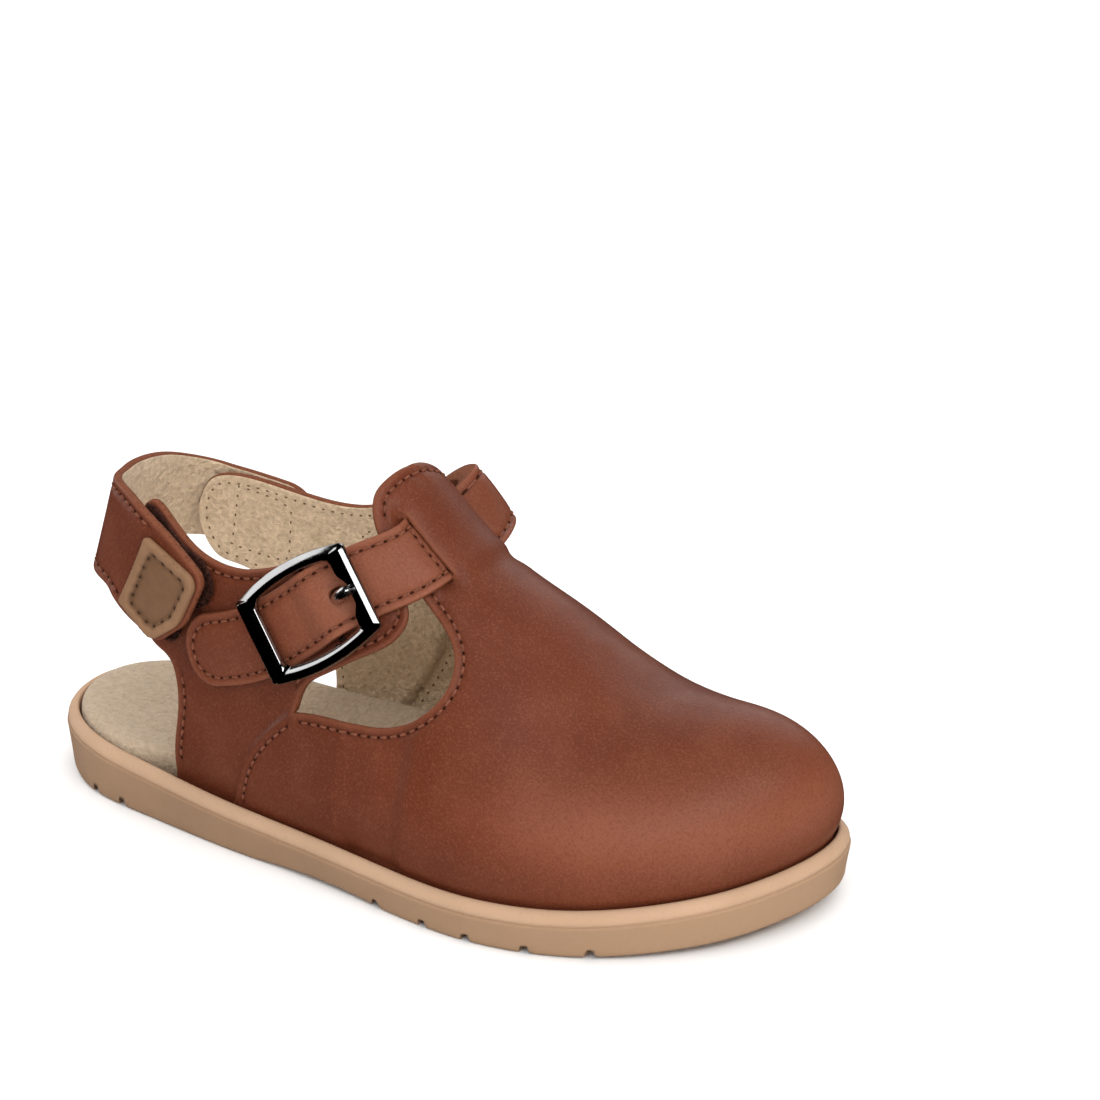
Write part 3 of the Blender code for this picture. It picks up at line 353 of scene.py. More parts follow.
def smooth_step(value, low, high):
    t = np.clip((np.asarray(value, float) - low) / (high - low), 0, 1)
    return t * t * (3 - 2 * t)


def unit(vectors):
    return vectors / np.linalg.norm(vectors, axis=-1, keepdims=True)


# Heights along the sole
def toe_bend(x):
    """Share of the toe's lift."""
    ahead = np.asarray(x, float) - TOE_SPRING_FROM
    return np.clip(ahead / (HALF_LENGTH - TOE_SPRING_FROM), 0, 1)**2


def crease_height(x):
    s = (np.asarray(x, float) + HALF_LENGTH) / (2 * HALF_LENGTH)
    return (CREASE_HEEL * (1 - s) * (1 - 2 * s) + CREASE_WAIST * 4 * s * (1 - s)
            + CREASE_TOE * s * (2 * s - 1) + TOE_LIFT * toe_bend(x))


def rim_height(x):
    return crease_height(x) + RIM_RISE


def tread_height(x):
    x = np.asarray(x, float)
    heel = np.clip((HEEL_LIFT_FROM - x) / (HALF_LENGTH + HEEL_LIFT_FROM), 0, 1)
    arch = np.clip(1 - ((x - ARCH_MIDDLE) / ARCH_HALF)**2, 0, 1)
    return TOE_SPRING * toe_bend(x) + HEEL_LIFT * heel**2 + ARCH_LIFT * arch


def sole_outline(inset, count):
    """Sole outline moved in by the inset, one value or one for each point."""
    ring = closed_curve(OUTLINE, count)
    along = unit(np.roll(ring, -1, 0) - np.roll(ring, 1, 0))
    outward = np.stack([along[:, 1], -along[:, 0]], 1)
    return ring - outward * np.reshape(inset, (-1, 1))


# The last: a chart with u along the foot and v round it, bent to the shape of the foot
CREST_ROWS = np.array(CREST, float)
FEATHER = sole_outline(FEATHER_INSET, 1600)
TOE_INDEX = int(np.argmax(FEATHER[:, 0]))
OUTER_EDGE = FEATHER[:TOE_INDEX + 1]
INNER_EDGE = FEATHER[TOE_INDEX:][::-1]
FAN_Y = float(cubic(CREST_ROWS[:, 0], CREST_ROWS[:, 1], FAN_X))
FAN_RAYS = FEATHER - (FAN_X, FAN_Y)
FAN_RAYS = FAN_RAYS[FAN_RAYS[:, 0] > -3]
FAN_ANGLES = np.arctan2(FAN_RAYS[:, 1], FAN_RAYS[:, 0])
FAN_REACHES = np.linalg.norm(FAN_RAYS, axis=1)
EDGE_V = CHART * math.pi / 2


def half_breadth(x, side):
    """Distance from the crest to the feather edge on each point's side."""
    crest = cubic(CREST_ROWS[:, 0], CREST_ROWS[:, 1], x)
    outer = crest - np.interp(x, OUTER_EDGE[:, 0], OUTER_EDGE[:, 1])
    inner = np.interp(x, INNER_EDGE[:, 0], INNER_EDGE[:, 1]) - crest
    return np.where(np.asarray(side) < 0, outer, inner)


def bare_last(u, v):
    """Point of the last for each place on the chart."""
    u = np.asarray(u, float)
    v = np.asarray(v, float)
    toe = u > 0
    side = np.where(v < 0, LATERAL, MEDIAL)
    girth = np.minimum(np.where(toe, np.hypot(u, v), np.abs(v)) / CHART, math.pi / 2 - 1e-6)
    turn = np.where(toe, np.arctan2(v, np.maximum(u, 1e-9)), side * math.pi / 2)
    rear_x = FAN_X + np.minimum(u, 0)
    reach = np.where(toe, np.interp(turn, FAN_ANGLES, FAN_REACHES), half_breadth(rear_x, side))
    forward = np.cos(turn) * toe
    share = np.sin(girth)
    x = rear_x + share * reach * forward
    y = cubic(CREST_ROWS[:, 0], CREST_ROWS[:, 1], rear_x) + share * reach * np.sin(turn)
    fullness = SIDE_FULLNESS + (TOE_FULLNESS - SIDE_FULLNESS) * forward**2
    root = SIDE_ROOT + (TOE_ROOT - SIDE_ROOT) * forward**2
    base = rim_height(x) - TUCK
    crown = cubic(CREST_ROWS[:, 0], CREST_ROWS[:, 2], np.minimum(x, CREST_ROWS[-1, 0]))
    rise = (crown - base) * (1 - share**fullness)**(1 / root)
    swell = np.clip((rise - TUCK) / BULGE_HEIGHT, 0, 1)
    grown = BULGE_REAR + (1 - BULGE_REAR) * smooth_step(x, *BULGE_GROWS)
    push = BULGE * BULGE_PEAK * swell * (1 - swell)**2 * share * grown
    return np.stack([x + push * forward, y + push * np.sin(turn), base + rise], -1)


def last_frame(u, v):
    """Point, both chart directions and the outward normal."""
    u = np.asarray(u, float)
    v = np.asarray(v, float)
    h = 0.15
    girth = np.where(u > 0, np.hypot(u, v), np.abs(v))
    keep = np.minimum(1, (EDGE_V - 2 * h) / np.maximum(girth, 1e-9))
    inner_u = np.where(u > 0, u * keep, u)
    inner_v = v * keep
    along = (bare_last(inner_u + h, inner_v) - bare_last(inner_u - h, inner_v)) / (2 * h)
    around = (bare_last(inner_u, inner_v + h) - bare_last(inner_u, inner_v - h)) / (2 * h)
    return bare_last(u, v), along, around, unit(np.cross(along, around))


def last_form(flat):
    point, _, _, normal = last_frame(flat[:, 0], flat[:, 1])
    return point, normal


def side_chart(rows, side):
    """Chart places of points given by x and z on one side of the foot."""
    rows = np.asarray(rows, float)
    x, z = rows[:, 0], rows[:, 1]
    base = rim_height(x) - TUCK
    crown = cubic(CREST_ROWS[:, 0], CREST_ROWS[:, 2], x)
    rise = np.clip((z - base) / (crown - base), 0, 1)
    return np.stack([x - FAN_X, side * CHART * np.arccos(rise)], 1)


def top_chart(rows):
    """Chart places of points given by x and y on the T-bar."""
    rows = np.asarray(rows, float)
    x, y = rows[:, 0], rows[:, 1]
    off = y - cubic(CREST_ROWS[:, 0], CREST_ROWS[:, 1], x)
    share = np.clip(np.abs(off) / half_breadth(x, np.sign(off)), 0, 1)
    return np.stack([x - FAN_X, np.sign(off) * CHART * np.arcsin(share)], 1)


def feather_chart(count_side, count_toe):
    """The lower edge of the upper, from the outer quarter's rear round the toe to the inner one's."""
    start = LATERAL_QUARTER[0][0] - FAN_X
    end = MEDIAL_QUARTER[0][0] - FAN_X
    turn = np.linspace(-math.pi / 2, math.pi / 2, count_toe)
    outer = np.stack([np.linspace(start, 0, count_side), np.full(count_side, -EDGE_V)], 1)
    toe = EDGE_V * np.stack([np.cos(turn), np.sin(turn)], 1)
    inner = np.stack([np.linspace(0, end, count_side), np.full(count_side, EDGE_V)], 1)
    return np.vstack([outer[:-1], toe, inner[1:]])


# Meshes
def mesh_piece(name, points, faces, finishes, slots=None, values=None):
    """A mesh object from points in millimetres, with a material for each face and values for each point."""
    mesh = bpy.data.meshes.new(name)
    mesh.from_pydata((np.asarray(points, float) * MM).tolist(), [], faces)
    for finish in finishes:
        mesh.materials.append(finish)
    if slots is not None:
        mesh.polygons.foreach_set("material_index", np.asarray(slots, np.int32))
    for key, numbers in (values or {}).items():
        layer = mesh.attributes.new(key, "FLOAT", "POINT")
        layer.data.foreach_set("value", np.asarray(numbers, np.float32))
    mesh.shade_smooth()
    mesh.validate()
    made = bpy.data.objects.new(name, mesh)
    bpy.context.scene.collection.objects.link(made)
    return made


def ring_faces(rows, count):
    """Quads between rings that follow one another, each of the same count of points."""
    faces = []
    for row in range(rows - 1):
        near, far = row * count, (row + 1) * count
        faces += [(near + i, near + (i + 1) % count, far + (i + 1) % count, far + i) for i in range(count)]
    return faces


def ladder_faces(first, count):
    """Cap over a ring of even count, with rungs across it from the ring's first point."""
    faces = [(first, first + 1, first + count - 1)]
    for i in range(1, count // 2 - 1):
        faces.append((first + i, first + i + 1, first + count - i - 1, first + count - i))
    middle = first + count // 2
    faces.append((middle - 1, middle, middle + 1))
    return faces


def nearest(samples, points):
    """Distance to the nearest sample and its number, for each point."""
    tree = kdtree.KDTree(len(samples))
    for number, sample in enumerate(samples):
        tree.insert(sample, number)
    tree.balance()
    found = [tree.find(point) for point in points]
    return np.array([f[2] for f in found]), np.array([f[1] for f in found])


def inside(points, ring):
    """True for the points that lie in the closed ring."""
    x, y = np.asarray(points, float).T
    x0, y0 = np.asarray(ring, float).T
    x1, y1 = np.roll(x0, -1), np.roll(y0, -1)
    slope = (x1 - x0) / np.where(y1 == y0, 1e-12, y1 - y0)
    found = np.zeros(len(x), bool)
    for a0, b0, b1, lean in zip(x0, y0, y1, slope):
        crosses = (b0 > y) != (b1 > y)
        found ^= crosses & (x < a0 + (y - b0) * lean)
    return found


def evenly(form, line, step, closed=False):
    """The line's places again, at equal steps measured on the form."""
    if closed:
        line = np.vstack([line, line[:1]])
    run = chord_lengths(form(line)[0])
    count = max(2, int(round(run[-1] / step)))
    even = read_rows(np.linspace(0, run[-1], count + 1), run, line)
    return even[:-1] if closed else even


def chart_step(directions, way):
    """Flat step that moves by the given way, from the two chart directions at each place."""
    jacobian = np.stack(directions, -1)
    square = np.einsum("nik,nil->nkl", jacobian, jacobian)
    drive = np.einsum("nik,ni->nk", jacobian, way)
    return np.linalg.solve(square, drive[..., None])[..., 0]


def beside(form, line, distance, closed=False):
    """Flat places to the left of a line, at a distance measured on the form."""
    h = 0.1
    place, normal = form(line)
    across = [(form(line + step)[0] - form(line - step)[0]) / (2 * h) for step in ((h, 0), (0, h))]
    ahead = np.roll(place, -1, 0) - np.roll(place, 1, 0) if closed else np.gradient(place, axis=0)
    return line + chart_step(across, np.cross(normal, unit(ahead)) * distance)


def grain_value(piece, key, values, elsewhere):
    """A value for the grain side's points, which come first, and one number for the rest."""
    row = np.full(len(piece.data.vertices), elsewhere, np.float32)
    row[:len(values)] = values
    piece.data.attributes.new(key, "FLOAT", "POINT").data.foreach_set("value", row)


def turned(ring, left_handed):
    """The ring, run so that its leather is on the left."""
    x, y = ring.T
    area = np.sum(x * np.roll(y, -1) - np.roll(x, -1) * y)
    return ring if (area > 0) == left_handed else ring[::-1]


class Sheet:
    """Leather cut to a flat outline and laid on a form, with soft edges and sunk stitch rows."""

    RAILS = (0.13, 0.4, 0.85)
    ROW_RAILS = (-1.0, -0.5, 0.0, 0.5, 1.0)
    CLEAR = 1.25
    ROW_STEP, EDGE_STEP = 0.5, 0.15
    EDGE_BULGE, RIM_FADE = 0.15, 1.1

    def __init__(self, form, relief, outline, holes=(), rows=(), lines=(), spacing=(0.95, 0.9), step=0.6):
        self.form = form
        self.relief = relief
        rings = [(outline, True)] + [(hole, False) for hole in holes]
        self.loops = [turned(evenly(form, ring, step, True), left) for ring, left in rings]
        self.rows = [evenly(form, row, self.ROW_STEP) for row in rows]
        self.holes = [evenly(form, row, PITCH) for row in rows]
        self.fill(lines, spacing)
        self.measure()

    def fill(self, lines, spacing):
        points = []
        edges = []
        for loop in self.loops:
            first = len(points)
            points.extend(loop)
            edges.extend((first + i, first + (i + 1) % len(loop)) for i in range(len(loop)))
        for line in lines:
            first = len(points)
            points.extend(line)
            edges.extend((first + i, first + i + 1) for i in range(len(line) - 1))
        rails = [beside(self.form, loop, inset, True) for loop in self.loops for inset in self.RAILS]
        rails += [beside(self.form, row, offset) for row in self.rows for offset in self.ROW_RAILS]
        low, high = self.loops[0].min(0), self.loops[0].max(0)
        rank = np.arange(low[1], high[1], spacing[1])
        across = np.arange(low[0], high[0], spacing[0])
        grid = np.vstack([np.column_stack([across + (k % 2) * spacing[0] / 2, np.full(len(across), y)])
                          for k, y in enumerate(rank)])
        grid = grid[self.covers(grid)]
        guides = [self.form(line)[0] for line in self.loops + self.rows + list(lines)]
        grid = grid[nearest(np.vstack(guides), self.form(grid)[0])[0] > self.CLEAR]
        rails = np.vstack(rails)
        points.extend(rails[self.covers(rails)])
        points.extend(grid)
        filled = geometry.delaunay_2d_cdt([Vector(p) for p in points], edges, [], 0, 1e-5)
        flat = np.array([tuple(p) for p in filled[0]])
        faces = np.array([tuple(f) for f in filled[2]])
        faces = faces[self.covers(flat[faces].mean(1))]
        used = np.unique(faces)
        renumber = np.full(len(flat), -1)
        renumber[used] = np.arange(len(used))
        self.flat = flat[used]
        self.faces = renumber[faces]

    def covers(self, flat):
        found = inside(flat, self.loops[0])
        for hole in self.loops[1:]:
            found &= ~inside(flat, hole)
        return found

    def measure(self):
        """Distance from each point to the edge, and how deep the stitching pulls it in."""
        self.place, self.normal = self.form(self.flat)
        edge = np.vstack([self.form(evenly(self.form, loop, self.EDGE_STEP, True))[0] for loop in self.loops])
        self.from_edge = nearest(edge, self.place)[0]
        self.sunk = np.zeros(len(self.flat))
        if self.rows:
            rows = np.vstack([self.form(row)[0] for row in self.rows])
            ends = np.vstack([self.form(holes)[0] for holes in self.holes])
            from_row = nearest(rows, self.place)[0]
            from_hole = nearest(ends, self.place)[0]
            self.sunk = (TROUGH_DEPTH * np.exp(-(from_row / TROUGH_WIDTH)**2)
                         + PUCKER_DEPTH * np.exp(-(from_hole / PUCKER_WIDTH)**2))

    def piece(self, name, thick, finishes):
        """Closed mesh: grain side, cut edge and flesh side, each with its own material."""
        rise = self.relief(self.flat)
        self.thickness = thick if callable(thick) else lambda flat: np.full(len(flat), thick)
        near = np.minimum(self.from_edge, EDGE_ROUND)
        drop = EDGE_ROUND - np.sqrt(EDGE_ROUND**2 - (EDGE_ROUND - near)**2)
        top = self.place + self.normal * (rise - drop - self.sunk)[:, None]
        under = self.place + self.normal * (rise - self.thickness(self.flat) + 0.5 * drop)[:, None]
        count = len(top)
        points = [top, under]
        faces = [tuple(f) for f in self.faces.tolist()]
        faces += [(a + count, c + count, b + count) for a, b, c in self.faces.tolist()]
        slots = [0] * len(self.faces) + [2] * len(self.faces)
        first = 0
        middle = 2 * count
        rims = [self.from_edge, self.from_edge]
        for loop in self.loops:
            size = len(loop)
            ring = np.arange(first, first + size)
            ahead = unit(np.roll(top[ring], -1, 0) - np.roll(top[ring], 1, 0))
            outward = np.cross(ahead, self.normal[ring])
            points.append((top[ring] + under[ring]) / 2 + outward * self.EDGE_BULGE)
            for i in range(size):
                j = (i + 1) % size
                a, b = first + i, first + j
                faces.append((a, middle + i, middle + j, b))
                faces.append((middle + i, a + count, b + count, middle + j))
                slots += [1, 1]
            rims.append(np.zeros(size))
            first += size
            middle += size
        rim = np.exp(-np.concatenate(rims) / self.RIM_FADE)
        # how deep each point is sunk, used for painted shade in the stitch troughs
        trough_shade = np.concatenate([self.sunk, np.zeros(len(rim) - count)]) / (TROUGH_DEPTH + PUCKER_DEPTH)
        return mesh_piece(name, np.vstack(points), faces, finishes, slots, {"rim": rim, "trough_shade": trough_shade})


# Threads
def tubes(paths, normals, radii, sides=8):
    """Points and faces of round tubes with closed ends, one for each row of paths."""
    paths = np.asarray(paths, float)
    amount, stations = paths.shape[:2]
    ahead = unit(np.gradient(paths, axis=1))
    side = unit(np.cross(ahead, normals))
    up = np.cross(side, ahead)
    turns = np.linspace(0, 2 * math.pi, sides, endpoint=False)
    ring = side[..., None, :] * np.cos(turns)[:, None] + up[..., None, :] * np.sin(turns)[:, None]
    round_it = paths[..., None, :] + ring * np.reshape(radii, (1, stations, 1, 1))
    points = np.concatenate([round_it.reshape(amount, -1, 3), paths[:, [0, -1]]], 1)
    pattern = [tuple(reversed(face)) for face in ring_faces(stations, sides)]
    tail = stations * sides
    last = tail - sides
    for i in range(sides):
        j = (i + 1) % sides
        pattern.append((i, j, tail))
        pattern.append((last + j, last + i, tail + 1))
    size = points.shape[1]
    faces = [tuple(k + number * size for k in face) for number in range(amount) for face in pattern]
    return points.reshape(-1, 3), faces


THREAD_SHARES = np.array([0.17, 0.25, 0.38, 0.62, 0.75, 0.83])
THREAD_HEIGHTS = np.array([-0.34, -0.1, 0.06, 0.06, -0.1, -0.34])
THREAD_TAPER = np.array([0.45, 0.85, 1.0, 1.0, 0.85, 0.45])
PIT_SHARES = np.array([-0.17, -0.1, 0.0, 0.1, 0.17])
PIT_RADII = np.array([0.12, 0.25, 0.31, 0.25, 0.12])
PIT_DEPTH = 0.2
FLESH_PIT_RISE, FLESH_PIT_SIZE = 0.1, 0.8


def stitching(name, sheet, finishes, through=(), fine=1.0):
    """Threads between the holes of a sheet's stitch rows, and dark pits on its two sides as painted shade in
    the holes.
    """
    points = []
    faces = []
    slots = []

    def lay(flat, lift, height, radius, slot):
        places, normal = sheet.form(flat.reshape(-1, 2))
        paths = (places + normal * lift(flat.reshape(-1, 2))[:, None]).reshape(flat.shape[:2] + (3,))
        normal = normal.reshape(paths.shape)
        made, shape = tubes(paths + normal * np.reshape(height, (-1, 1)), normal, radius)
        start = sum(len(p) for p in points)
        points.append(made)
        faces.extend(tuple(k + start for k in face) for face in shape)
        slots.extend([slot] * len(shape))

    def flesh(flat):
        return sheet.relief(flat) - sheet.thickness(flat)

    def pits(holes):
        return holes[:-1, None] + np.diff(holes, axis=0)[:, None] * PIT_SHARES[:, None]

    for holes in sheet.holes:
        threads = holes[:-1, None] + np.diff(holes, axis=0)[:, None] * THREAD_SHARES[:, None]
        lay(threads, sheet.relief, THREAD_HEIGHTS - TROUGH_DEPTH, fine * THREAD_RADIUS * THREAD_TAPER, 0)
        lay(pits(holes), sheet.relief, -PIT_DEPTH - TROUGH_DEPTH, fine * PIT_RADII, 1)
    if len(finishes) > 2:
        for holes in sheet.holes + [evenly(sheet.form, row, PITCH) for row in through]:
            lay(pits(holes), flesh, FLESH_PIT_RISE, FLESH_PIT_SIZE * PIT_RADII, 2)
    return mesh_piece(name, np.vstack(points), faces, finishes, slots)


# Materials
class Finish:
    """A material with its Principled shader and short ways to add nodes."""

    def __init__(self, name, roughness, metallic=0.0, specular=0.5):
        self.made = bpy.data.materials.new(name)
        self.made.use_nodes = True
        self.tree = self.made.node_tree
        self.shader = self.tree.nodes["Principled BSDF"]
        self.shader.inputs["Roughness"].default_value = roughness
        self.shader.inputs["Metallic"].default_value = metallic
        self.shader.inputs["Specular IOR Level"].default_value = specular
        self.where = self.tree.nodes.new("ShaderNodeTexCoord").outputs["Object"]
        self.height = None

    def link(self, source, target):
        self.tree.links.new(source, target)

    def noise(self, size, detail=3.0):
        """Noise with features of about the given size in millimetres."""
        node = self.tree.nodes.new("ShaderNodeTexNoise")
        node.inputs["Scale"].default_value = 1 / (size * MM)
        node.inputs["Detail"].default_value = detail
        self.link(self.where, node.inputs["Vector"])
        return node.outputs["Fac"]

    def cells(self, size):
        """Distance to the middles of cells of about the given size in millimetres."""
        node = self.tree.nodes.new("ShaderNodeTexVoronoi")
        node.inputs["Scale"].default_value = 1 / (size * MM)
        self.link(self.where, node.inputs["Vector"])
        return node.outputs["Distance"]

    def value(self, key):
        node = self.tree.nodes.new("ShaderNodeAttribute")
        node.attribute_name = key
        return node.outputs["Fac"]

    def ramp(self, source, *stops):
        """Colours along a value, each stop a place and a colour."""
        node = self.tree.nodes.new("ShaderNodeValToRGB")
        row = node.color_ramp.elements
        for number, (at, colour) in enumerate(stops):
            stop = row[number] if number < len(row) else row.new(at)
            stop.position = at
            stop.color = (*colour, 1.0)
        self.link(source, node.inputs["Fac"])
        return node.outputs["Color"]

    def span(self, source, low, high, start=0.0, end=1.0):
        """A value moved from one range to another and held there."""
        node = self.tree.nodes.new("ShaderNodeMapRange")
        for key, number in zip(("From Min", "From Max", "To Min", "To Max"), (low, high, start, end)):
            node.inputs[key].default_value = number
        self.link(source, node.inputs["Value"])
        return node.outputs["Result"]

    def mix(self, share, first, second):
        """Blend by a value from a colour socket to another one or to a colour given as numbers."""
        node = self.tree.nodes.new("ShaderNodeMix")
        node.data_type = "RGBA"
        self.link(share, node.inputs["Factor"])
        self.link(first, node.inputs[6])
        if isinstance(second, tuple):
            node.inputs[7].default_value = (*second, 1.0)
        else:
            self.link(second, node.inputs[7])
        return node.outputs[2]

    def bump(self, source, depth, strength=1.0):
        """Relief of the given depth in millimetres."""
        node = self.tree.nodes.new("ShaderNodeBump")
        node.inputs["Strength"].default_value = strength
        node.inputs["Distance"].default_value = depth * MM
        self.link(source, node.inputs["Height"])
        if self.height is not None:
            self.link(self.height, node.inputs["Normal"])
        self.height = node.outputs["Normal"]

    def close(self, colour, roughness=None):
        self.link(colour, self.shader.inputs["Base Color"])
        if roughness is not None:
            self.link(roughness, self.shader.inputs["Roughness"])
        if self.height is not None:
            self.link(self.height, self.shader.inputs["Normal"])
        return self.made


def leather(name, deep, body, pale):
    """Waxed smooth leather: softly clouded, finely grained, paler at the edges, painted paler as a highlight
    where a per-point value is set, and painted darker in the stitch rows as shade.
    """
    finish = Finish(name, 0.45, specular=0.18)
    colour = finish.ramp(finish.noise(38.0, 2.0), (0.3, deep), (0.7, body))
    colour = finish.mix(finish.span(finish.noise(11.0, 4.0), 0.45, 0.8, 0.0, 0.22), colour, pale)
    speck = finish.noise(0.45, 3.0)
    # painted highlight: paler where the per-point value is set
    colour = finish.mix(finish.span(finish.value("painted_highlight"), 0.0, 1.0, 0.0, 0.62), colour, pale)
    colour = finish.mix(finish.span(speck, 0.5, 0.78, 0.0, 0.42), colour, pale)
    colour = finish.mix(finish.span(speck, 0.5, 0.25, 0.0, 0.5), colour, deep)
    colour = finish.mix(finish.span(finish.value("rim"), 0.3, 1.0, 0.0, 0.45), colour, pale)
    # painted shade in the sunk stitch troughs
    colour = finish.mix(finish.span(finish.value("trough_shade"), 0.2, 1.0, 0.0, 0.7), colour, deep)
    finish.bump(finish.noise(8.0, 2.0), 0.22, 0.4)
    finish.bump(finish.cells(0.5), 0.05, 0.5)
    finish.bump(speck, 0.08, 0.6)
    rough = finish.span(finish.noise(6.0, 3.0), 0.35, 0.7, 0.37, 0.47)
    return finish.close(colour, rough)


def raw_edge(name, dark, light):
    """Cut leather edge: fibres in fine layers along it."""
    finish = Finish(name, 0.8, specular=0.2)
    layers = finish.noise(0.5, 4.0)
    colour = finish.ramp(layers, (0.3, dark), (0.7, light))
    finish.bump(layers, 0.12, 0.6)
    return finish.close(colour)


def suede(name, dark, light):
    """Napped leather or brushed lining, painted darker in its pebble hollows as shade."""
    finish = Finish(name, 0.95, specular=0.1)
    finish.shader.inputs["Sheen Weight"].default_value = 0.2
    finish.shader.inputs["Sheen Roughness"].default_value = 0.5
    tuft = finish.noise(1.1, 5.0)
    colour = finish.ramp(tuft, (0.3, dark), (0.66, light))
    pebble = finish.noise(2.6, 3.0)
    # painted shade in the pebble's hollows, which the bump also sinks
    colour = finish.mix(finish.span(pebble, 0.48, 0.3, 0.0, 0.3), colour, dark)
    nap = finish.noise(0.25, 3.0)
    colour = finish.mix(finish.span(nap, 0.45, 0.75, 0.0, 0.6), colour, dark)
    finish.bump(pebble, 1.3, 0.8)
    finish.bump(tuft, 0.7, 0.9)
    finish.bump(nap, 0.3, 1.0)
    return finish.close(colour)


def sole_rubber():
    """Moulded rubber: a tan wall with faint mould texture under a rounded band painted paler as the lit top
    of the sole, with painted light towards the toe and painted shade in the tread's notches.
    """
    finish = Finish("sole_rubber", 0.62, specular=0.35)
    cloud = finish.noise(14.0, 3.0)
    wall = finish.ramp(cloud, (0.35, (0.285, 0.17, 0.098)), (0.65, (0.315, 0.192, 0.112)))
    # painted light: the wall grows paler towards the toe
    wall = finish.mix(finish.value("toe_light"), wall, (0.345, 0.212, 0.124))
    # the band's paler tone is painted light on the sole's lit top
    band = finish.ramp(cloud, (0.35, (0.43, 0.272, 0.17)), (0.65, (0.47, 0.30, 0.19)))
    colour = finish.mix(finish.value("band"), wall, band)
    # painted shade in the tread's cross grooves
    colour = finish.mix(finish.span(finish.value("notch_shade"), 0.2, 0.9), colour, (0.055, 0.03, 0.017))
    speck = finish.noise(0.6, 2.0)
    colour = finish.mix(finish.span(speck, 0.6, 0.8, 0.0, 0.25), colour, (0.22, 0.125, 0.07))
    finish.bump(finish.noise(3.0, 2.0), 0.12, 0.4)
    finish.bump(speck, 0.03, 0.5)
    return finish.close(colour, finish.span(finish.noise(2.0, 2.0), 0.3, 0.7, 0.55, 0.7))


def patch_rubber():
    finish = Finish("patch_rubber", 0.6, specular=0.25)
    cloud = finish.noise(3.0, 3.0)
    low = finish.ramp(cloud, (0.35, (0.135, 0.066, 0.031)), (0.65, (0.155, 0.077, 0.037)))
    high = finish.ramp(cloud, (0.35, (0.20, 0.105, 0.053)), (0.65, (0.23, 0.122, 0.063)))
    colour = finish.mix(finish.value("raised"), low, high)
    # painted shade in the patch's sunk stitch groove
    colour = finish.mix(finish.span(finish.value("trough_shade"), 0.25, 0.8, 0.0, 0.7), colour, (0.05, 0.024, 0.012))
    finish.bump(finish.cells(0.6), 0.05, 0.5)
    return finish.close(colour)


def thread_finish(name, dark, light):
    finish = Finish(name, 0.6, specular=0.35)
    twist = finish.noise(0.5, 2.0)
    colour = finish.ramp(twist, (0.35, dark), (0.65, light))
    finish.bump(twist, 0.12, 0.7)
    return finish.close(colour)


def hole_finish(name, dark, light):
    finish = Finish(name, 0.95, specular=0.05)
    return finish.close(finish.ramp(finish.noise(0.5), (0.3, dark), (0.7, light)))


def pile_finish():
    finish = Finish("hook_and_loop_pile", 0.9, specular=0.2)
    strand = finish.noise(0.6, 3.0)
    colour = finish.ramp(strand, (0.35, (0.022, 0.007, 0.005)), (0.7, (0.085, 0.03, 0.02)))
    finish.bump(strand, 0.3, 0.8)
    return finish.close(colour)


def nickel(name, shade, smooth, rough):
    finish = Finish(name, 0.1, metallic=1.0)
    colour = finish.ramp(finish.noise(4.0), (0.3, [shade] * 3), (0.7, [shade + 0.04] * 3))
    finish.bump(finish.noise(1.5, 3.0), 0.006, 0.4)
    return finish.close(colour, finish.span(finish.noise(0.8, 3.0), 0.3, 0.7, smooth, rough))


def paper_floor():
    finish = Finish("pale_floor", 0.9, specular=0.1)
    colour = finish.ramp(finish.noise(60.0), (0.3, (0.90, 0.90, 0.90)), (0.7, (0.93, 0.93, 0.93)))
    return finish.close(colour)


DEEP, BODY, PALE = (0.094, 0.0215, 0.009), (0.131, 0.0315, 0.0138), (0.235, 0.078, 0.041)
LEATHER = leather("brown_leather", DEEP, BODY, PALE)
# Paler copy of the brown leather for the strap: partly the strap's own paler tone, partly painted light for
# its brighter lit look
STRAP_TONES = (0.125, 0.031, 0.0138), (0.142, 0.0365, 0.0165), (0.27, 0.096, 0.053)
STRAP_LEATHER = leather("strap_leather", *STRAP_TONES)
EDGE = raw_edge("leather_edge", (0.10, 0.028, 0.012), (0.215, 0.07, 0.032))
LINING = suede("beige_lining", (0.62, 0.465, 0.305), (0.88, 0.69, 0.485))
THREAD = thread_finish("waxed_thread", (0.12, 0.034, 0.016), (0.21, 0.068, 0.035))
PATCH_THREAD = thread_finish("patch_thread", (0.12, 0.058, 0.027), (0.155, 0.076, 0.037))
# dark pits at the stitch holes: painted shade in the holes, on the grain side, the lining side and the patch
HOLE = hole_finish("stitch_hole", (0.022, 0.007, 0.004), (0.05, 0.015, 0.008))
LINING_HOLE = hole_finish("lining_hole", (0.13, 0.08, 0.046), (0.21, 0.135, 0.08))
PATCH_HOLE = hole_finish("patch_hole", (0.035, 0.016, 0.008), (0.05, 0.024, 0.012))
PILE = pile_finish()
NICKEL = nickel("black_nickel", 0.33, 0.07, 0.14)
# lighter, rougher copy of the black nickel for the prong: painted light, so the prong shows a broader
# highlight
PIN_NICKEL = nickel("pin_nickel", 0.6, 0.22, 0.3)
RUBBER = sole_rubber()


# Sole unit
def groove_rise(x):
    """How far the tread is cut away at the cross grooves."""
    rise = np.zeros(np.shape(x))
    for groove in GROOVES:
        rise = np.maximum(rise, 1 - smooth_step(np.abs(x - groove), GROOVE_FLOOR, GROOVE_HALF))
    return GROOVE_DEPTH * rise


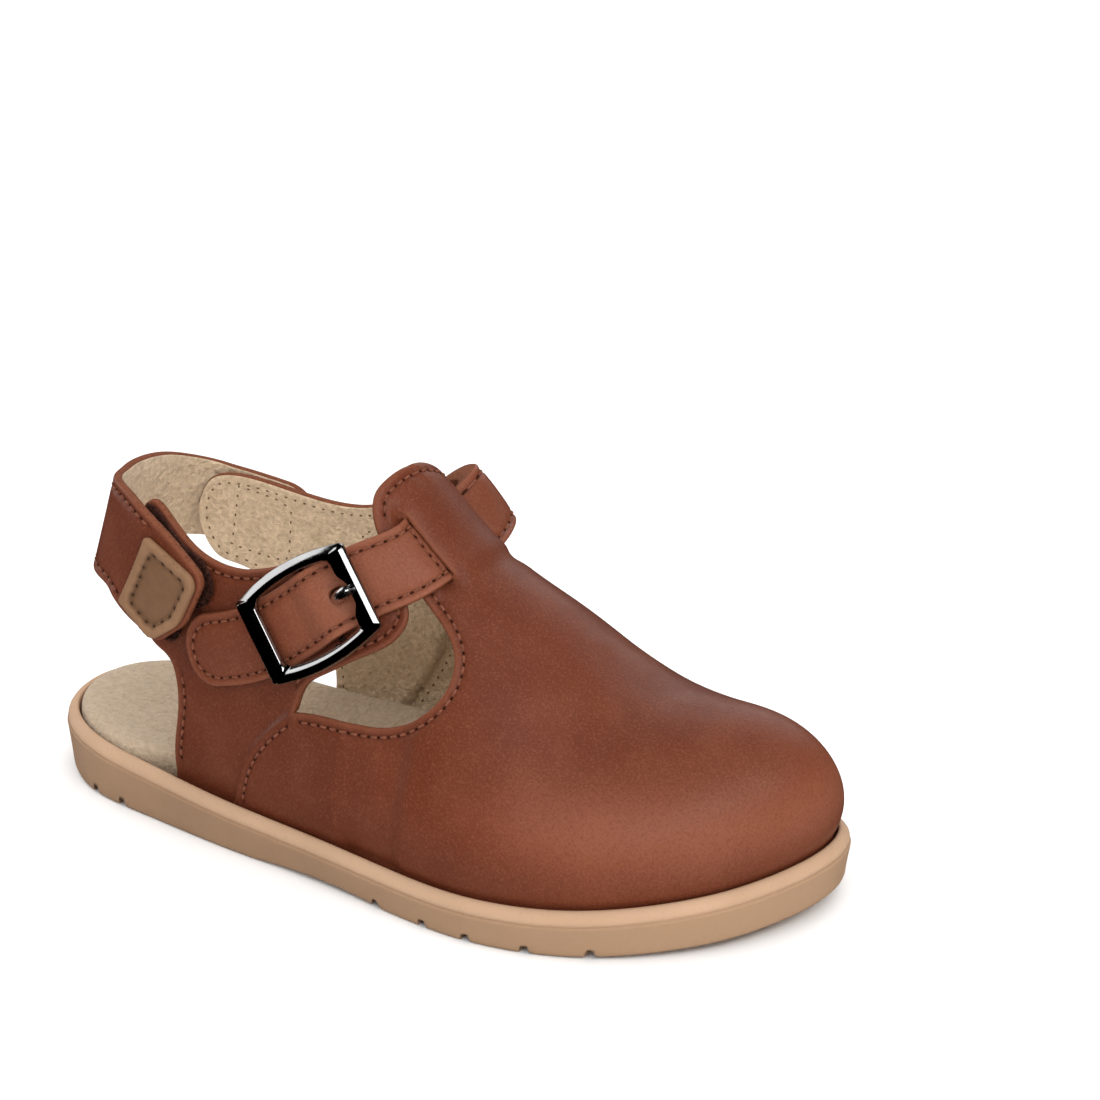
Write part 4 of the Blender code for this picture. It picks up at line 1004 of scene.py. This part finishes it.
def make_sole():
    edge = sole_outline(0, SOLE_COUNT)
    crease = crease_height(edge[:, 0])
    rings = []
    bands = []
    notches = []
    for inset, line, rise in OUTSOLE_PROFILE:
        plan = sole_outline(inset, SOLE_COUNT)
        floor = tread_height(plan[:, 0])
        cut = groove_rise(plan[:, 0])
        if line == "tread":
            level = np.maximum(floor + rise, floor + cut)
        elif line == "wall":
            level = floor + WALL_FOOT + (crease - WALL_TOP - floor - WALL_FOOT) * rise
        else:
            level = crease + rise
        rings.append(np.column_stack([plan, level]))
        bands.append(np.full(SOLE_COUNT, float(line == "crease" and rise > BAND_FROM)))
        notches.append(cut / GROOVE_DEPTH * (line == "tread"))
    points = np.vstack(rings)
    faces = ring_faces(len(rings), SOLE_COUNT)
    faces += ladder_faces((len(rings) - 1) * SOLE_COUNT, SOLE_COUNT)
    under, shape = tread(rings[0])
    start = len(points)
    faces += [tuple(i if i < SOLE_COUNT else start + i - SOLE_COUNT for i in face) for face in shape]
    values = {
        "band": np.concatenate(bands + [np.zeros(len(under))]),
        "notch_shade": np.concatenate(notches + [groove_rise(under[:, 0]) / GROOVE_DEPTH]),
        "toe_light": smooth_step(np.concatenate([points[:, 0], under[:, 0]]), *TOE_LIGHT_RAMP),
    }
    return mesh_piece("sole_unit", np.vstack([points, under]), faces, [RUBBER], values=values)


def tread(ring):
    """Under side of the sole: points inside its ring and faces over both."""
    plan = ring[:, :2]
    lines = []
    for x in GROOVES:
        for offset in (-GROOVE_HALF, -GROOVE_FLOOR, GROOVE_FLOOR, GROOVE_HALF):
            y = np.arange(-GROOVE_REACH, GROOVE_REACH, GROOVE_STEP)
            line = np.column_stack([np.full(len(y), x + offset), y])
            lines.append(line[inside(line, sole_outline(GROOVE_INSET, 200))])
    along, across = (np.arange(*reach, TREAD_STEP) for reach in (TREAD_X, TREAD_Y))
    grid = np.array([(x, y) for x in along for y in across])
    grid = grid[inside(grid, sole_outline(TREAD_INSET, 300))]
    extra = np.vstack(lines + [grid])
    points = np.vstack([plan, extra])
    edges = [(i, (i + 1) % SOLE_COUNT) for i in range(SOLE_COUNT)]
    filled = geometry.delaunay_2d_cdt([Vector(p) for p in points], edges, [], 0, 1e-6)
    flat = np.array([tuple(p) for p in filled[0]])
    faces = np.array([tuple(reversed(f)) for f in filled[2]])
    faces = [tuple(f) for f in faces[inside(flat[faces].mean(1), plan)].tolist()]
    inner = flat[SOLE_COUNT:]
    level = tread_height(inner[:, 0]) + groove_rise(inner[:, 0])
    return np.column_stack([inner, level]), faces


def arch_pad(plan):
    """How far the footbed rises under the inner arch."""
    along = smooth_step(plan[:, 0], *PAD_FROM) * (1 - smooth_step(plan[:, 0], *PAD_TO))
    return PAD_RISE * along * smooth_step(plan[:, 1], *PAD_SLOPE)


def make_footbed():
    edge = sole_outline(0, INSOLE_COUNT)
    own = INSOLE_HEEL_INSET + (INSOLE_INSET - INSOLE_HEEL_INSET) * smooth_step(edge[:, 0], *INSOLE_NARROWS)
    rings = []
    for further, rise in INSOLE_PROFILE:
        plan = sole_outline(own + further, INSOLE_COUNT)
        level = crease_height(edge[:, 0]) + rise
        rings.append(np.column_stack([plan, level + arch_pad(plan) * (rise > 0)]))
    faces = ring_faces(len(rings), INSOLE_COUNT)
    faces += [tuple(reversed(face)) for face in ladder_faces(0, INSOLE_COUNT)]
    faces += ladder_faces((len(rings) - 1) * INSOLE_COUNT, INSOLE_COUNT)
    nap = suede("footbed_suede", (0.42, 0.318, 0.218), (0.53, 0.41, 0.29))
    return mesh_piece("footbed", np.vstack(rings), faces, [nap])


# Upper
def slit_ring(side):
    near = SLIT_Y[side]
    far = near + SLIT_WIDE
    rear, front = SLIT_X[side]
    corners = ((rear, side * near), (rear, side * far), (front, side * far), (front, side * near))
    sides = [np.linspace(corners[i], corners[(i + 1) % 4], 12, endpoint=False) for i in range(4)]
    return top_chart(np.vstack(sides))


def past_slit(y):
    """Distance outward from the T-bar's edge at the slit on the same side."""
    return np.where(y < 0, -y - SLIT_Y[LATERAL], y - SLIT_Y[MEDIAL])


def slit_frame(flat):
    """Distances outward from the T-bar's edge and past the ends of the slit on the same side, and y."""
    x = flat[:, 0] + FAN_X
    y = bare_last(flat[:, 0], flat[:, 1])[:, 1]
    rear, front = (np.where(y < 0, SLIT_X[LATERAL][k], SLIT_X[MEDIAL][k]) for k in (0, 1))
    return past_slit(y), np.maximum(rear - x, x - front), y


def strap_level(y):
    """Height of the strap's grain side beside the T-bar, from under it to the top of the side strips."""
    return -STRAP_SINK + (STRAP_THICK + GAP + STRAP_SINK) * smooth_step(past_slit(y), STRAP_UNDER, STRAP_OVER)


def weave_lift(flat):
    """Height of the vamp's leather, over the strap between the slits and under it beside them."""
    out, beyond, y = slit_frame(flat)
    near = 1 - smooth_step(beyond, 0, SLIT_FADE)
    lip = 2 * VAMP_LAP - LIP_DROP * smooth_step(out, -SLIT_SOFT, 0.0)
    strip = np.minimum(strap_level(y) - STRAP_THICK - STRIP_CLEAR, VAMP_LAP)
    cut = (out > SLIT_WIDE / 2).astype(float)
    soft = smooth_step(out, -SLIT_SOFT, SLIT_WIDE + SLIT_SOFT)
    aside = cut + (soft - cut) * smooth_step(beyond, 0, SLIT_BLEND)
    woven = lip * (1 - aside) + strip * aside
    return VAMP_LAP + (woven - VAMP_LAP) * near


def upper_thickness(flat):
    """The T-bar is pared thin along its slits."""
    out, beyond, _ = slit_frame(flat)
    return WALL - PARED * smooth_step(out, -PARED_OVER, 0.0) * ((beyond < PARED_PAST) & (out < SLIT_WIDE))


def stretch(line, start, end):
    """The stretch of a chart line between the places nearest to two given ones."""
    first, last = (int(np.argmin(np.linalg.norm(line - place, axis=1))) for place in (start, end))
    return line[first:last + 1]


def make_upper(line, band):
    edges = {}
    seams = {}
    windows = {}
    for side, rows in ((LATERAL, LATERAL_QUARTER), (MEDIAL, MEDIAL_QUARTER)):
        edges[side] = open_curve(side_chart(rows, side), 500)
        edges[side][0, 1] = side * EDGE_V
        seams[side] = open_curve(side_chart(SEAMS[side], side), 60)
        seams[side][-1, 1] = side * EDGE_V
        windows[side] = open_curve(side_chart(WINDOWS[side], side), 240)
    corners = np.vstack([windows[LATERAL][-1:], top_chart(T_BAR_TOP), windows[MEDIAL][-1:]])
    bar_top = open_curve(corners, 120)
    feather = feather_chart(160, 240)
    ring = np.vstack([edges[LATERAL][:-1], windows[LATERAL][:-1], bar_top[:-1], windows[MEDIAL][::-1][:-1],
                      edges[MEDIAL][::-1][:-1], feather[::-1][:-1]])
    laps = {side: seams[side] + np.array(SEAM_STEP) for side in seams}
    quarters = [np.vstack([beside(last_form, edges[side], -0.5 * side)[:-3], laps[side] + (0.1, 0)])
                for side in seams]

    def relief(flat):
        behind = inside(flat, quarters[0]) | inside(flat, quarters[1])
        return np.where(behind, 0.0, weave_lift(flat)) + soft_dents(flat)

    rows = []
    for side in seams:
        row = beside(last_form, edges[side], ROW_INSET * side)
        places = [side_chart([place], side)[0] for place in QUARTER_ROWS[side]]
        rows += [stretch(row, *places[k:k + 2]) for k in range(0, len(places), 2)]
        rows.append(trimmed(beside(last_form, windows[side], ROW_INSET * side), *WINDOW_ROW))
        rows.append(trimmed(beside(last_form, seams[side], -ROW_INSET * side), *SEAM_ROW))
    rows.append(trimmed(beside(last_form, bar_top, -BAR_ROW_INSET), *BAR_ROW))
    lines = [evenly(last_form, line[3:-1], 0.6) for side in seams for line in (seams[side], laps[side])]
    sheet = Sheet(last_form, relief, ring, [slit_ring(LATERAL), slit_ring(MEDIAL)], rows, lines)
    shell = sheet.piece("leather_upper", upper_thickness, [LEATHER, EDGE, LINING])
    x, _, z = sheet.place.T
    # painted highlight: the forefoot's lit band, laid into the leather's colour
    grain_value(shell, "painted_highlight", np.exp(-((z - HIGHLIGHT_HEIGHT) / HIGHLIGHT_HALF)**2) * smooth_step(x, *HIGHLIGHT_FROM), 0)
    box = strap_outline(line, ROW_INSET)
    box = line.chart(box[box[:, 0] < BOX_STITCH_AT])
    sewn = side_chart(band.form(sling_box(band))[0][:, [0, 2]], MEDIAL)
    return shell, stitching("upper_stitching", sheet, [THREAD, HOLE, LINING_HOLE], [box, sewn])


def soft_dents(flat):
    """Soft hollows and swells that the leather has taken from lasting and wear."""
    x, y, z = bare_last(flat[:, 0], flat[:, 1]).T
    height = np.zeros(len(flat))
    for side, at_x, at_z, long, tall, depth in DENTS:
        here = np.exp(-((x - at_x) / long)**2 - ((z - at_z) / tall)**2)
        height += depth * here * (np.sign(y) == side)
    return height


def trimmed(line, start, end):
    """The stretch of a line between two shares of its length."""
    count = len(line)
    return line[int(start * count):int(end * count)]


# Instep strap
class StrapLine:
    """The instep strap's middle line with its directions on the last."""

    def __init__(self, stations):
        over = top_chart([(STRAP_X, y) for y in (9.0, 3.0, -3.0, -9.0)])
        inner = side_chart(STRAP_MEDIAL, MEDIAL)
        outer = side_chart(STRAP_LATERAL, LATERAL)
        path = open_curve(np.vstack([inner, over, outer]), 400)
        places = bare_last(path[:, 0], path[:, 1])
        run = chord_lengths(places)
        self.length = float(run[-1])
        self.at = np.linspace(0, self.length, stations)
        self.flat = read_rows(self.at, run, path)
        place, along_u, along_v, normal = last_frame(self.flat[:, 0], self.flat[:, 1])
        self.tangent = unit(np.gradient(place, axis=0))
        self.place = place
        self.normal = normal
        self.aside = chart_step([along_u, along_v], np.cross(normal, self.tangent))
        buckle = last_form(side_chart([(BUCKLE_X, BUCKLE_Z)], LATERAL))[0][0]
        self.buckle_at = float(self.at[np.argmin(np.linalg.norm(place - buckle, axis=1))])

    def chart(self, flat):
        """Chart places of points given by the run along the strap and the distance across it."""
        middle = read_rows(flat[:, 0], self.at, self.flat)
        return middle + read_rows(flat[:, 0], self.at, self.aside) * flat[:, 1:]

    def form(self, flat):
        return last_form(self.chart(flat))

    def stand(self, flat):
        """Height of the strap's grain side: on the quarters, under the T-bar, over the buckle's bar."""
        chart = self.chart(flat)
        y = bare_last(chart[:, 0], chart[:, 1])[:, 1]
        over_bar = np.abs(flat[:, 0] - FLAP_MIDDLE) < FLAP_REACH
        level = np.where(over_bar, strap_level(y), STRAP_THICK + GAP)
        hump = np.clip(1 - ((flat[:, 0] - self.buckle_at + BAR_ALONG) / STRAP_HUMP_HALF)**2, 0, 1)**2
        camber = STRAP_CAMBER * (1 - (2 * flat[:, 1] / STRAP_WIDTH)**2)
        depth, long, wide = STRAP_WAVE
        wave = depth * np.sin(flat[:, 0] / long) * np.cos(flat[:, 1] / wide)
        return level + STRAP_HUMP * hump + self.flap(flat) + camber + wave

    def flap(self, flat):
        """How far the strap stands off as it leaves the inner slit."""
        s = flat[:, 0]
        return FLAP_RISE * (1 - smooth_step(s, *FLAP_CLIMB)) * smooth_step(s, *FLAP_FALL)

    def thickness(self, flat):
        return STRAP_THICK + FLAP_FLESH * self.flap(flat)


def strap_outline(line, margin):
    """Flat outline of the strap, moved in by the margin: square sides, a round tip and a rounded end."""
    half = STRAP_WIDTH / 2 - margin
    start, end = margin, line.length - margin
    turn = np.linspace(-math.pi / 2, math.pi / 2, 60)
    tip_round = STRAP_TIP_ROUND - margin * TIP_KEEPS
    end_round = STRAP_END_ROUND - margin
    tip = np.column_stack([end - tip_round + tip_round * np.cos(turn)**TIP_POWER, half * np.sin(turn)])
    sewn_end = np.column_stack([start + end_round - end_round * np.cos(turn), -half * np.sin(turn)])
    upper_side = np.linspace(tip[-1], sewn_end[0], 160)[1:-1]
    lower_side = np.linspace(sewn_end[-1], tip[0], 160)[1:-1]
    return np.vstack([tip, upper_side, sewn_end, lower_side])


def make_strap(line):
    outline = strap_outline(line, 0.0)
    ring = strap_outline(line, ROW_INSET)
    row = np.vstack([ring, ring[:1]])
    half = STRAP_WIDTH / 2 - ROW_INSET
    cross = np.linspace((BOX_STITCH_AT, half), (BOX_STITCH_AT, -half), 30)
    centre = line.buckle_at - PRONG_HOLE_AT
    turn = np.linspace(0, 2 * math.pi, 40, endpoint=False)
    along = centre + PRONG_HOLE_LENGTH / 2 * np.cos(turn)
    hole = np.column_stack([along, PRONG_HOLE_WIDTH / 2 * np.sin(turn)])
    at_slit = open_curve(SLIT_ROW, 30)
    sheet = Sheet(line.form, line.stand, outline, [hole], [row, cross, at_slit], spacing=(0.8, 0.8))
    strap = sheet.piece("buckled_strap", line.thickness, [STRAP_LEATHER, EDGE, EDGE])
    # painted highlight along the strap near the buckle
    painted_highlight = np.interp(sheet.flat[:, 0] - line.buckle_at, *np.transpose(STRAP_HIGHLIGHT))
    grain_value(strap, "painted_highlight", painted_highlight, 0)
    return strap, stitching("strap_stitching", sheet, [THREAD, HOLE, LINING_HOLE])


# Buckle
def buckle_axes(line):
    """Buckle centre on the last, then its directions along the strap, across it and outward."""
    i = int(np.argmin(np.abs(line.at - line.buckle_at)))
    out = line.normal[i]
    ahead = -line.tangent[i]
    turn = math.radians(FRAME_TURN)
    along = ahead * math.cos(turn) + np.cross(out, ahead) * math.sin(turn)
    across = np.cross(out, along)
    return line.place[i] + across * FRAME_SHIFT, along, across, out


def rounded_rectangle(length, width, radius, bow):
    """Points round a rectangle with round corners and long sides that bow outward."""
    corner = 12
    ring = []
    for quadrant in range(4):
        sx = 1 if quadrant in (0, 3) else -1
        sy = 1 if quadrant in (0, 1) else -1
        for turn in np.linspace(quadrant * math.pi / 2, (quadrant + 1) * math.pi / 2, corner):
            ring.append((sx * (length / 2 - radius) + radius * math.cos(turn),
                         sy * (width / 2 - radius) + radius * math.sin(turn)))
    dense = []
    for i, point in enumerate(ring):
        following = np.array(ring[(i + 1) % len(ring)])
        steps = 40 if i % corner == corner - 1 else 1
        dense.extend(np.linspace(point, following, steps, endpoint=False))
    dense = np.array(dense)
    swell = bow * (np.clip(1 - (dense[:, 0] / (length / 2))**2, 0, 1) - 0.5)
    dense[:, 1] *= 1 + swell / (width / 2)
    return dense


def make_buckle(line):
    """Frame with broad flat end bars and slim ridged side bars, and the bar under the strap."""
    centre, along, across, out = buckle_axes(line)
    outer = rounded_rectangle(FRAME_LENGTH, FRAME_WIDTH, FRAME_CORNER, FRAME_SWELL)
    inner = rounded_rectangle(OPENING_LENGTH, OPENING_WIDTH, OPENING_CORNER, OPENING_SWELL)
    inner[:, 1] += OPENING_RAISE * np.clip(inner[:, 1] / (OPENING_WIDTH / 2), 0, 1)
    seat = (inner[:, 0] > 0) * (1 - smooth_step(np.abs(inner[:, 1] - SEAT_ACROSS), *SEAT_FADE))
    on_end = smooth_step(np.abs(inner[:, 0]), OPENING_LENGTH / 2 - END_BLEND, OPENING_LENGTH / 2)
    points = []
    for end_share, upper_share, lower_share, rise in FRAME_PROFILE:
        side_share = np.where(inner[:, 1] > 0, upper_share, lower_share)
        share = (end_share * on_end + side_share * (1 - on_end))[:, None]
        ring = outer * (1 - share) + inner * share
        dent = seat * smooth_step(end_share, 0.5, 1.0)
        ring[:, 0] += SEAT_CUT * dent
        on_top = rise > FRAME_TOP_FROM
        bow = FRAME_BOW * (1 - (ring[:, 0] / (FRAME_LENGTH / 2))**2)
        lean = FRAME_LEAN * on_end * (ring[:, 0] < 0) * (0.5 - end_share) * on_top
        level = FRAME_RISE + rise + bow + lean - SEAT_DROP * dent * on_top
        points.append(centre + ring[:, :1] * along + ring[:, 1:] * across + level[:, None] * out)
    count = len(outer)
    faces = ring_faces(len(FRAME_PROFILE), count)
    last = (len(FRAME_PROFILE) - 1) * count
    faces += [(last + i, last + (i + 1) % count, (i + 1) % count, i) for i in range(count)]
    frame_points = np.vstack(points)
    reach = OPENING_WIDTH / 2 + BAR_PAST
    post = [(reach - inset, rise) for inset, rise in BAR_BEND]
    bend = open_curve(post + [(0, BAR_RISE)] + [(-side, rise) for side, rise in post[::-1]], BAR_COUNT)
    path = centre + along * BAR_ALONG + bend[:, :1] * across + bend[:, 1:] * out
    bar, bar_faces = tubes(path[None], np.tile(along, (1, BAR_COUNT, 1)), np.full(BAR_COUNT, BAR_RADIUS))
    faces += [tuple(k + len(frame_points) for k in face) for face in bar_faces]
    buckle = mesh_piece("strap_buckle", np.vstack([frame_points, bar]), faces, [NICKEL])
    buckle.data.set_sharp_from_angle(angle=math.radians(FRAME_SHARP))
    return buckle


def make_prong(line):
    """Blunt prong from the bar, up through the strap's hole, with its tip on the front end bar."""
    centre, along, across, out = buckle_axes(line)
    middle = open_curve([(BAR_ALONG + ahead, rise) for ahead, rise in PRONG_ROUTE], PRONG_COUNT)
    path = centre + middle[:, :1] * along + middle[:, 1:] * out
    share = np.linspace(0, 1, PRONG_COUNT)

    def dome(past):
        return np.sqrt(np.clip(1 - np.clip(past, 0, 1)**2, 0.02, 1))

    ends = dome((share - 1 + PRONG_NOSE) / PRONG_NOSE) * dome((PRONG_ROOT - share) / PRONG_ROOT)
    points, faces = tubes(path[None], np.tile(across, (1, PRONG_COUNT, 1)), PRONG_RADIUS * ends, 20)
    return mesh_piece("buckle_pin", points, faces, [PIN_NICKEL])


# Heel strap
class HeelBand:
    """The heel strap's middle line with the directions up the band and out of it."""

    def __init__(self):
        rows = np.array(HEEL_STRAP, float)
        chord = chord_lengths(rows[:, :3])
        self.dense = cubic(chord, rows, np.linspace(0, chord[-1], 800))
        self.run = chord_lengths(self.dense[:, :3])
        self.length = float(self.run[-1])

    def frame(self, at):
        rows = read_rows(at, self.run, self.dense)
        places = self.dense[:, :3]
        along = unit(read_rows(at + 0.5, self.run, places) - read_rows(at - 0.5, self.run, places))
        level = unit(np.stack([-along[:, 1], along[:, 0], np.zeros(len(along))], -1))
        upright = np.cross(along, level)
        lean = np.radians(rows[:, 4])[:, None]
        up = upright * np.cos(lean) - level * np.sin(lean)
        return rows[:, :3], up, np.cross(up, along), rows[:, 3]

    def form(self, flat):
        """Places by the run along the band and the distance down from its middle line."""
        place, up, out, _ = self.frame(flat[:, 0])
        return place - up * flat[:, 1:], out

    def half(self, at):
        """Half height, with the round sewn end."""
        final = np.clip((self.length - at) / HEEL_STRAP_ROUND, 0, 1)
        return self.frame(at)[3] * (0.5 + 0.5 * np.sqrt(1 - (1 - final)**2))


def sling_row(band, start):
    """Lower stitch row of the heel strap, from the given run to the middle of its sewn end."""
    run = np.linspace(start, band.length - ROW_INSET, 300)
    row = np.column_stack([run, np.maximum(band.half(run) - ROW_INSET, 0)])
    return np.vstack([row, np.linspace(row[-1], (run[-1], 0.0), 8)[1:]])


def sling_box(band):
    """Closed row of stitches that holds the heel strap's sewn end, its cross row first."""
    lower = sling_row(band, band.length - SLING_BOX)
    cross = np.linspace(lower[0] * (1, -1), lower[0], SLING_CROSS)
    return np.vstack([cross, lower[1:], lower[::-1] * (1, -1)])


def make_heel_strap(band):
    turn = band.length - HEEL_STRAP_ROUND
    at = np.concatenate([np.linspace(FREE_END_RUN, turn, 200), np.linspace(turn, band.length, 30)[1:]])
    half = band.half(at)
    free_end = rounded_polygon(((FREE_END_RUN, -half[0], 0.1), (FREE_END_RUN, half[0], 0.1)) + HEEL_STRAP_END)
    free_end = free_end[free_end[:, 0] < FREE_END_RUN - 0.5]
    outline = np.vstack([free_end, np.column_stack([at, -half]), np.column_stack([at, half])[::-1]])
    lower = sling_row(band, SLING_ROW_FROM)
    rows = [np.vstack([lower, lower[::-1] * (1, -1)]), sling_box(band)[:SLING_CROSS]]

    def relief(flat):
        """Soft upright waves where the strap turns round the heel."""
        wave = sum(depth * np.exp(-((flat[:, 0] - at) / wide)**2) for at, wide, depth in HEEL_WAVES)
        return HEEL_STRAP_THICK / 2 + wave

    sheet = Sheet(band.form, relief, outline, rows=rows, spacing=(0.9, 0.9))
    strap = sheet.piece("sling_strap", HEEL_STRAP_THICK, [LEATHER, EDGE, LINING])
    return strap, stitching("sling_stitching", sheet, [THREAD, HOLE])


def rounded_polygon(rows):
    """Closed outline with an arc at each corner, from corners given with their radii."""
    corners = np.array(rows, float)
    ring = []
    for i, (x, y, radius) in enumerate(corners):
        here = np.array((x, y))
        before = unit(corners[i - 1, :2] - here)
        after = unit(corners[(i + 1) % len(corners), :2] - here)
        half = math.acos(np.clip(before @ after, -1, 1)) / 2
        reach = radius / math.tan(half)
        centre = here + unit(before + after) * radius / math.sin(half)
        start, end = (here + way * reach - centre for way in (before, after))
        for t in np.linspace(0, 1, 14):
            turn = start * (1 - t) + end * t
            ring.append(centre + unit(turn) * radius)
    return np.array(ring)


def make_patch(band):
    """Moulded rubber patch: a raised border, a stitched groove and a bare sunk field."""
    outline = rounded_polygon(PATCH_OUTLINE)
    outline = turned(evenly(band.form, outline, 0.4, True), True)
    edge = np.pad(outline, ((0, 0), (0, 1)))
    row = beside(band.form, outline, PATCH_BORDER, True)
    row = row[nearest(edge, np.pad(row, ((0, 0), (0, 1))))[0] > PATCH_CORNER * PATCH_BORDER]
    row = np.vstack([row, row[:1]])

    def raised(flat):
        depth = nearest(edge, np.pad(flat, ((0, 0), (0, 1))))[0]
        return 1 - smooth_step(depth, PATCH_BORDER - PATCH_SLOPE[0], PATCH_BORDER + PATCH_SLOPE[1])

    def relief(flat):
        return HEEL_STRAP_THICK / 2 + PATCH_RISE - PATCH_FIELD * (1 - raised(flat))

    rubber = patch_rubber()
    sheet = Sheet(band.form, relief, outline, rows=[row], spacing=(0.5, 0.5), step=0.4)
    patch = sheet.piece("strap_patch", PATCH_RISE - PATCH_CLEAR, [rubber] * 3)
    grain_value(patch, "raised", raised(sheet.flat), 1)
    return patch, stitching("patch_stitching", sheet, [PATCH_THREAD, PATCH_HOLE], fine=0.6)


def make_tape():
    """Hook-and-loop strip under the heel strap's free end, with its pile as short bent fibres."""
    ring = closed_curve(side_chart(TAPE_OUTLINE, LATERAL), 160)

    def relief(flat):
        return np.full(len(flat), GAP + TAPE_THICK - PILE_TALL)

    sheet = Sheet(last_form, relief, ring, spacing=(0.8, 0.8))
    base = sheet.piece("pile_tape", TAPE_THICK - PILE_TALL, [PILE] * 3)
    chosen = RANDOM.integers(0, len(sheet.flat), FIBRES)
    normal = sheet.normal[chosen]
    root = sheet.place[chosen] + normal * (GAP + TAPE_THICK - ROOT_DEPTH)
    root = root + RANDOM.normal(0, ROOT_SPREAD, (FIBRES, 3))
    tip = root + normal * RANDOM.uniform(*FIBRE_TALL, (FIBRES, 1))
    tip = tip + RANDOM.normal(0, TIP_SPREAD, (FIBRES, 3))
    bend = (root + tip) / 2 + normal * BEND_RISE + RANDOM.normal(0, BEND_SPREAD, (FIBRES, 3))
    paths = np.stack([root, bend, tip], 1)
    upright = np.repeat(np.cross(normal, (0.3, 0.2, 0.93))[:, None], 3, 1)
    points, faces = tubes(paths, upright, FIBRE_RADII, 5)
    return base, mesh_piece("tape_fibres", points, faces, [PILE])


# Stage
def make_stage():
    bpy.ops.mesh.primitive_grid_add(x_subdivisions=8, y_subdivisions=8, size=FLOOR_SIZE)
    floor = bpy.context.object
    floor.name = "studio_floor"
    floor.data.materials.append(paper_floor())
    floor.visible_glossy = False


def area_light(name, place, target, size, power, glossy):
    lamp = bpy.data.lights.new(name, "AREA")
    lamp.shape = "RECTANGLE"
    lamp.size, lamp.size_y = size
    lamp.energy = power
    made = bpy.data.objects.new(name, lamp)
    made.visible_glossy = glossy
    made.location = place
    made.rotation_euler = (Vector(target) - Vector(place)).to_track_quat("-Z", "Y").to_euler()
    bpy.context.scene.collection.objects.link(made)


def make_light():
    """A wide softbox overhead without glints, two plain fills and three lamps that the gloss mirrors."""
    world = bpy.data.worlds.new("studio")
    bpy.context.scene.world = world
    world.use_nodes = True
    tree = world.node_tree
    direction = tree.nodes.new("ShaderNodeSeparateXYZ")
    softbox = tree.nodes.new("ShaderNodeMapRange")
    softbox.interpolation_type = "SMOOTHSTEP"
    for key, number in zip(("From Min", "From Max", "To Min", "To Max"), SOFTBOX):
        softbox.inputs[key].default_value = number
    tree.links.new(tree.nodes.new("ShaderNodeTexCoord").outputs["Generated"], direction.inputs["Vector"])
    tree.links.new(direction.outputs["Z"], softbox.inputs["Value"])
    tree.links.new(softbox.outputs["Result"], tree.nodes["Background"].inputs["Strength"])
    tree.nodes["Background"].inputs["Color"].default_value = (1.0, 1.0, 1.0, 1.0)
    world.cycles_visibility.glossy = False
    for lamp in LAMPS:
        area_light(*lamp)
    bpy.context.scene.view_settings.view_transform = "Standard"


def make_camera():
    lens = bpy.data.cameras.new("camera")
    lens.lens = LENS
    lens.sensor_width = SENSOR
    camera = bpy.data.objects.new("camera", lens)
    axes = Matrix((CAMERA_RIGHT, CAMERA_UP, CAMERA_BACK)).transposed()
    camera.matrix_world = Matrix.Translation(CAMERA_PLACE) @ axes.to_4x4()
    bpy.context.scene.collection.objects.link(camera)
    bpy.context.scene.camera = camera


def dress(piece, node, replaces=True):
    """Fix a piece to the shoe and, when it replaces the node, hide the node's imported part."""
    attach(piece, "root")
    if replaces:
        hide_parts(node)


def main():
    make_camera()
    make_light()
    make_stage()
    dress(make_sole(), "outsole")
    dress(make_footbed(), "insole")
    line = StrapLine(400)
    band = HeelBand()
    sewn = (
        (make_upper(line, band), "upper"),
        (make_strap(line), "instep_strap"),
        (make_heel_strap(band), "heel_strap"),
        (make_patch(band), "heel_strap_patch"),
        (make_tape(), "closure_tape"),
    )
    for (piece, trim), node in sewn:
        dress(piece, node)
        dress(trim, node, replaces=False)
    dress(make_buckle(line), "buckle_frame")
    dress(make_prong(line), "buckle_prong")


main()
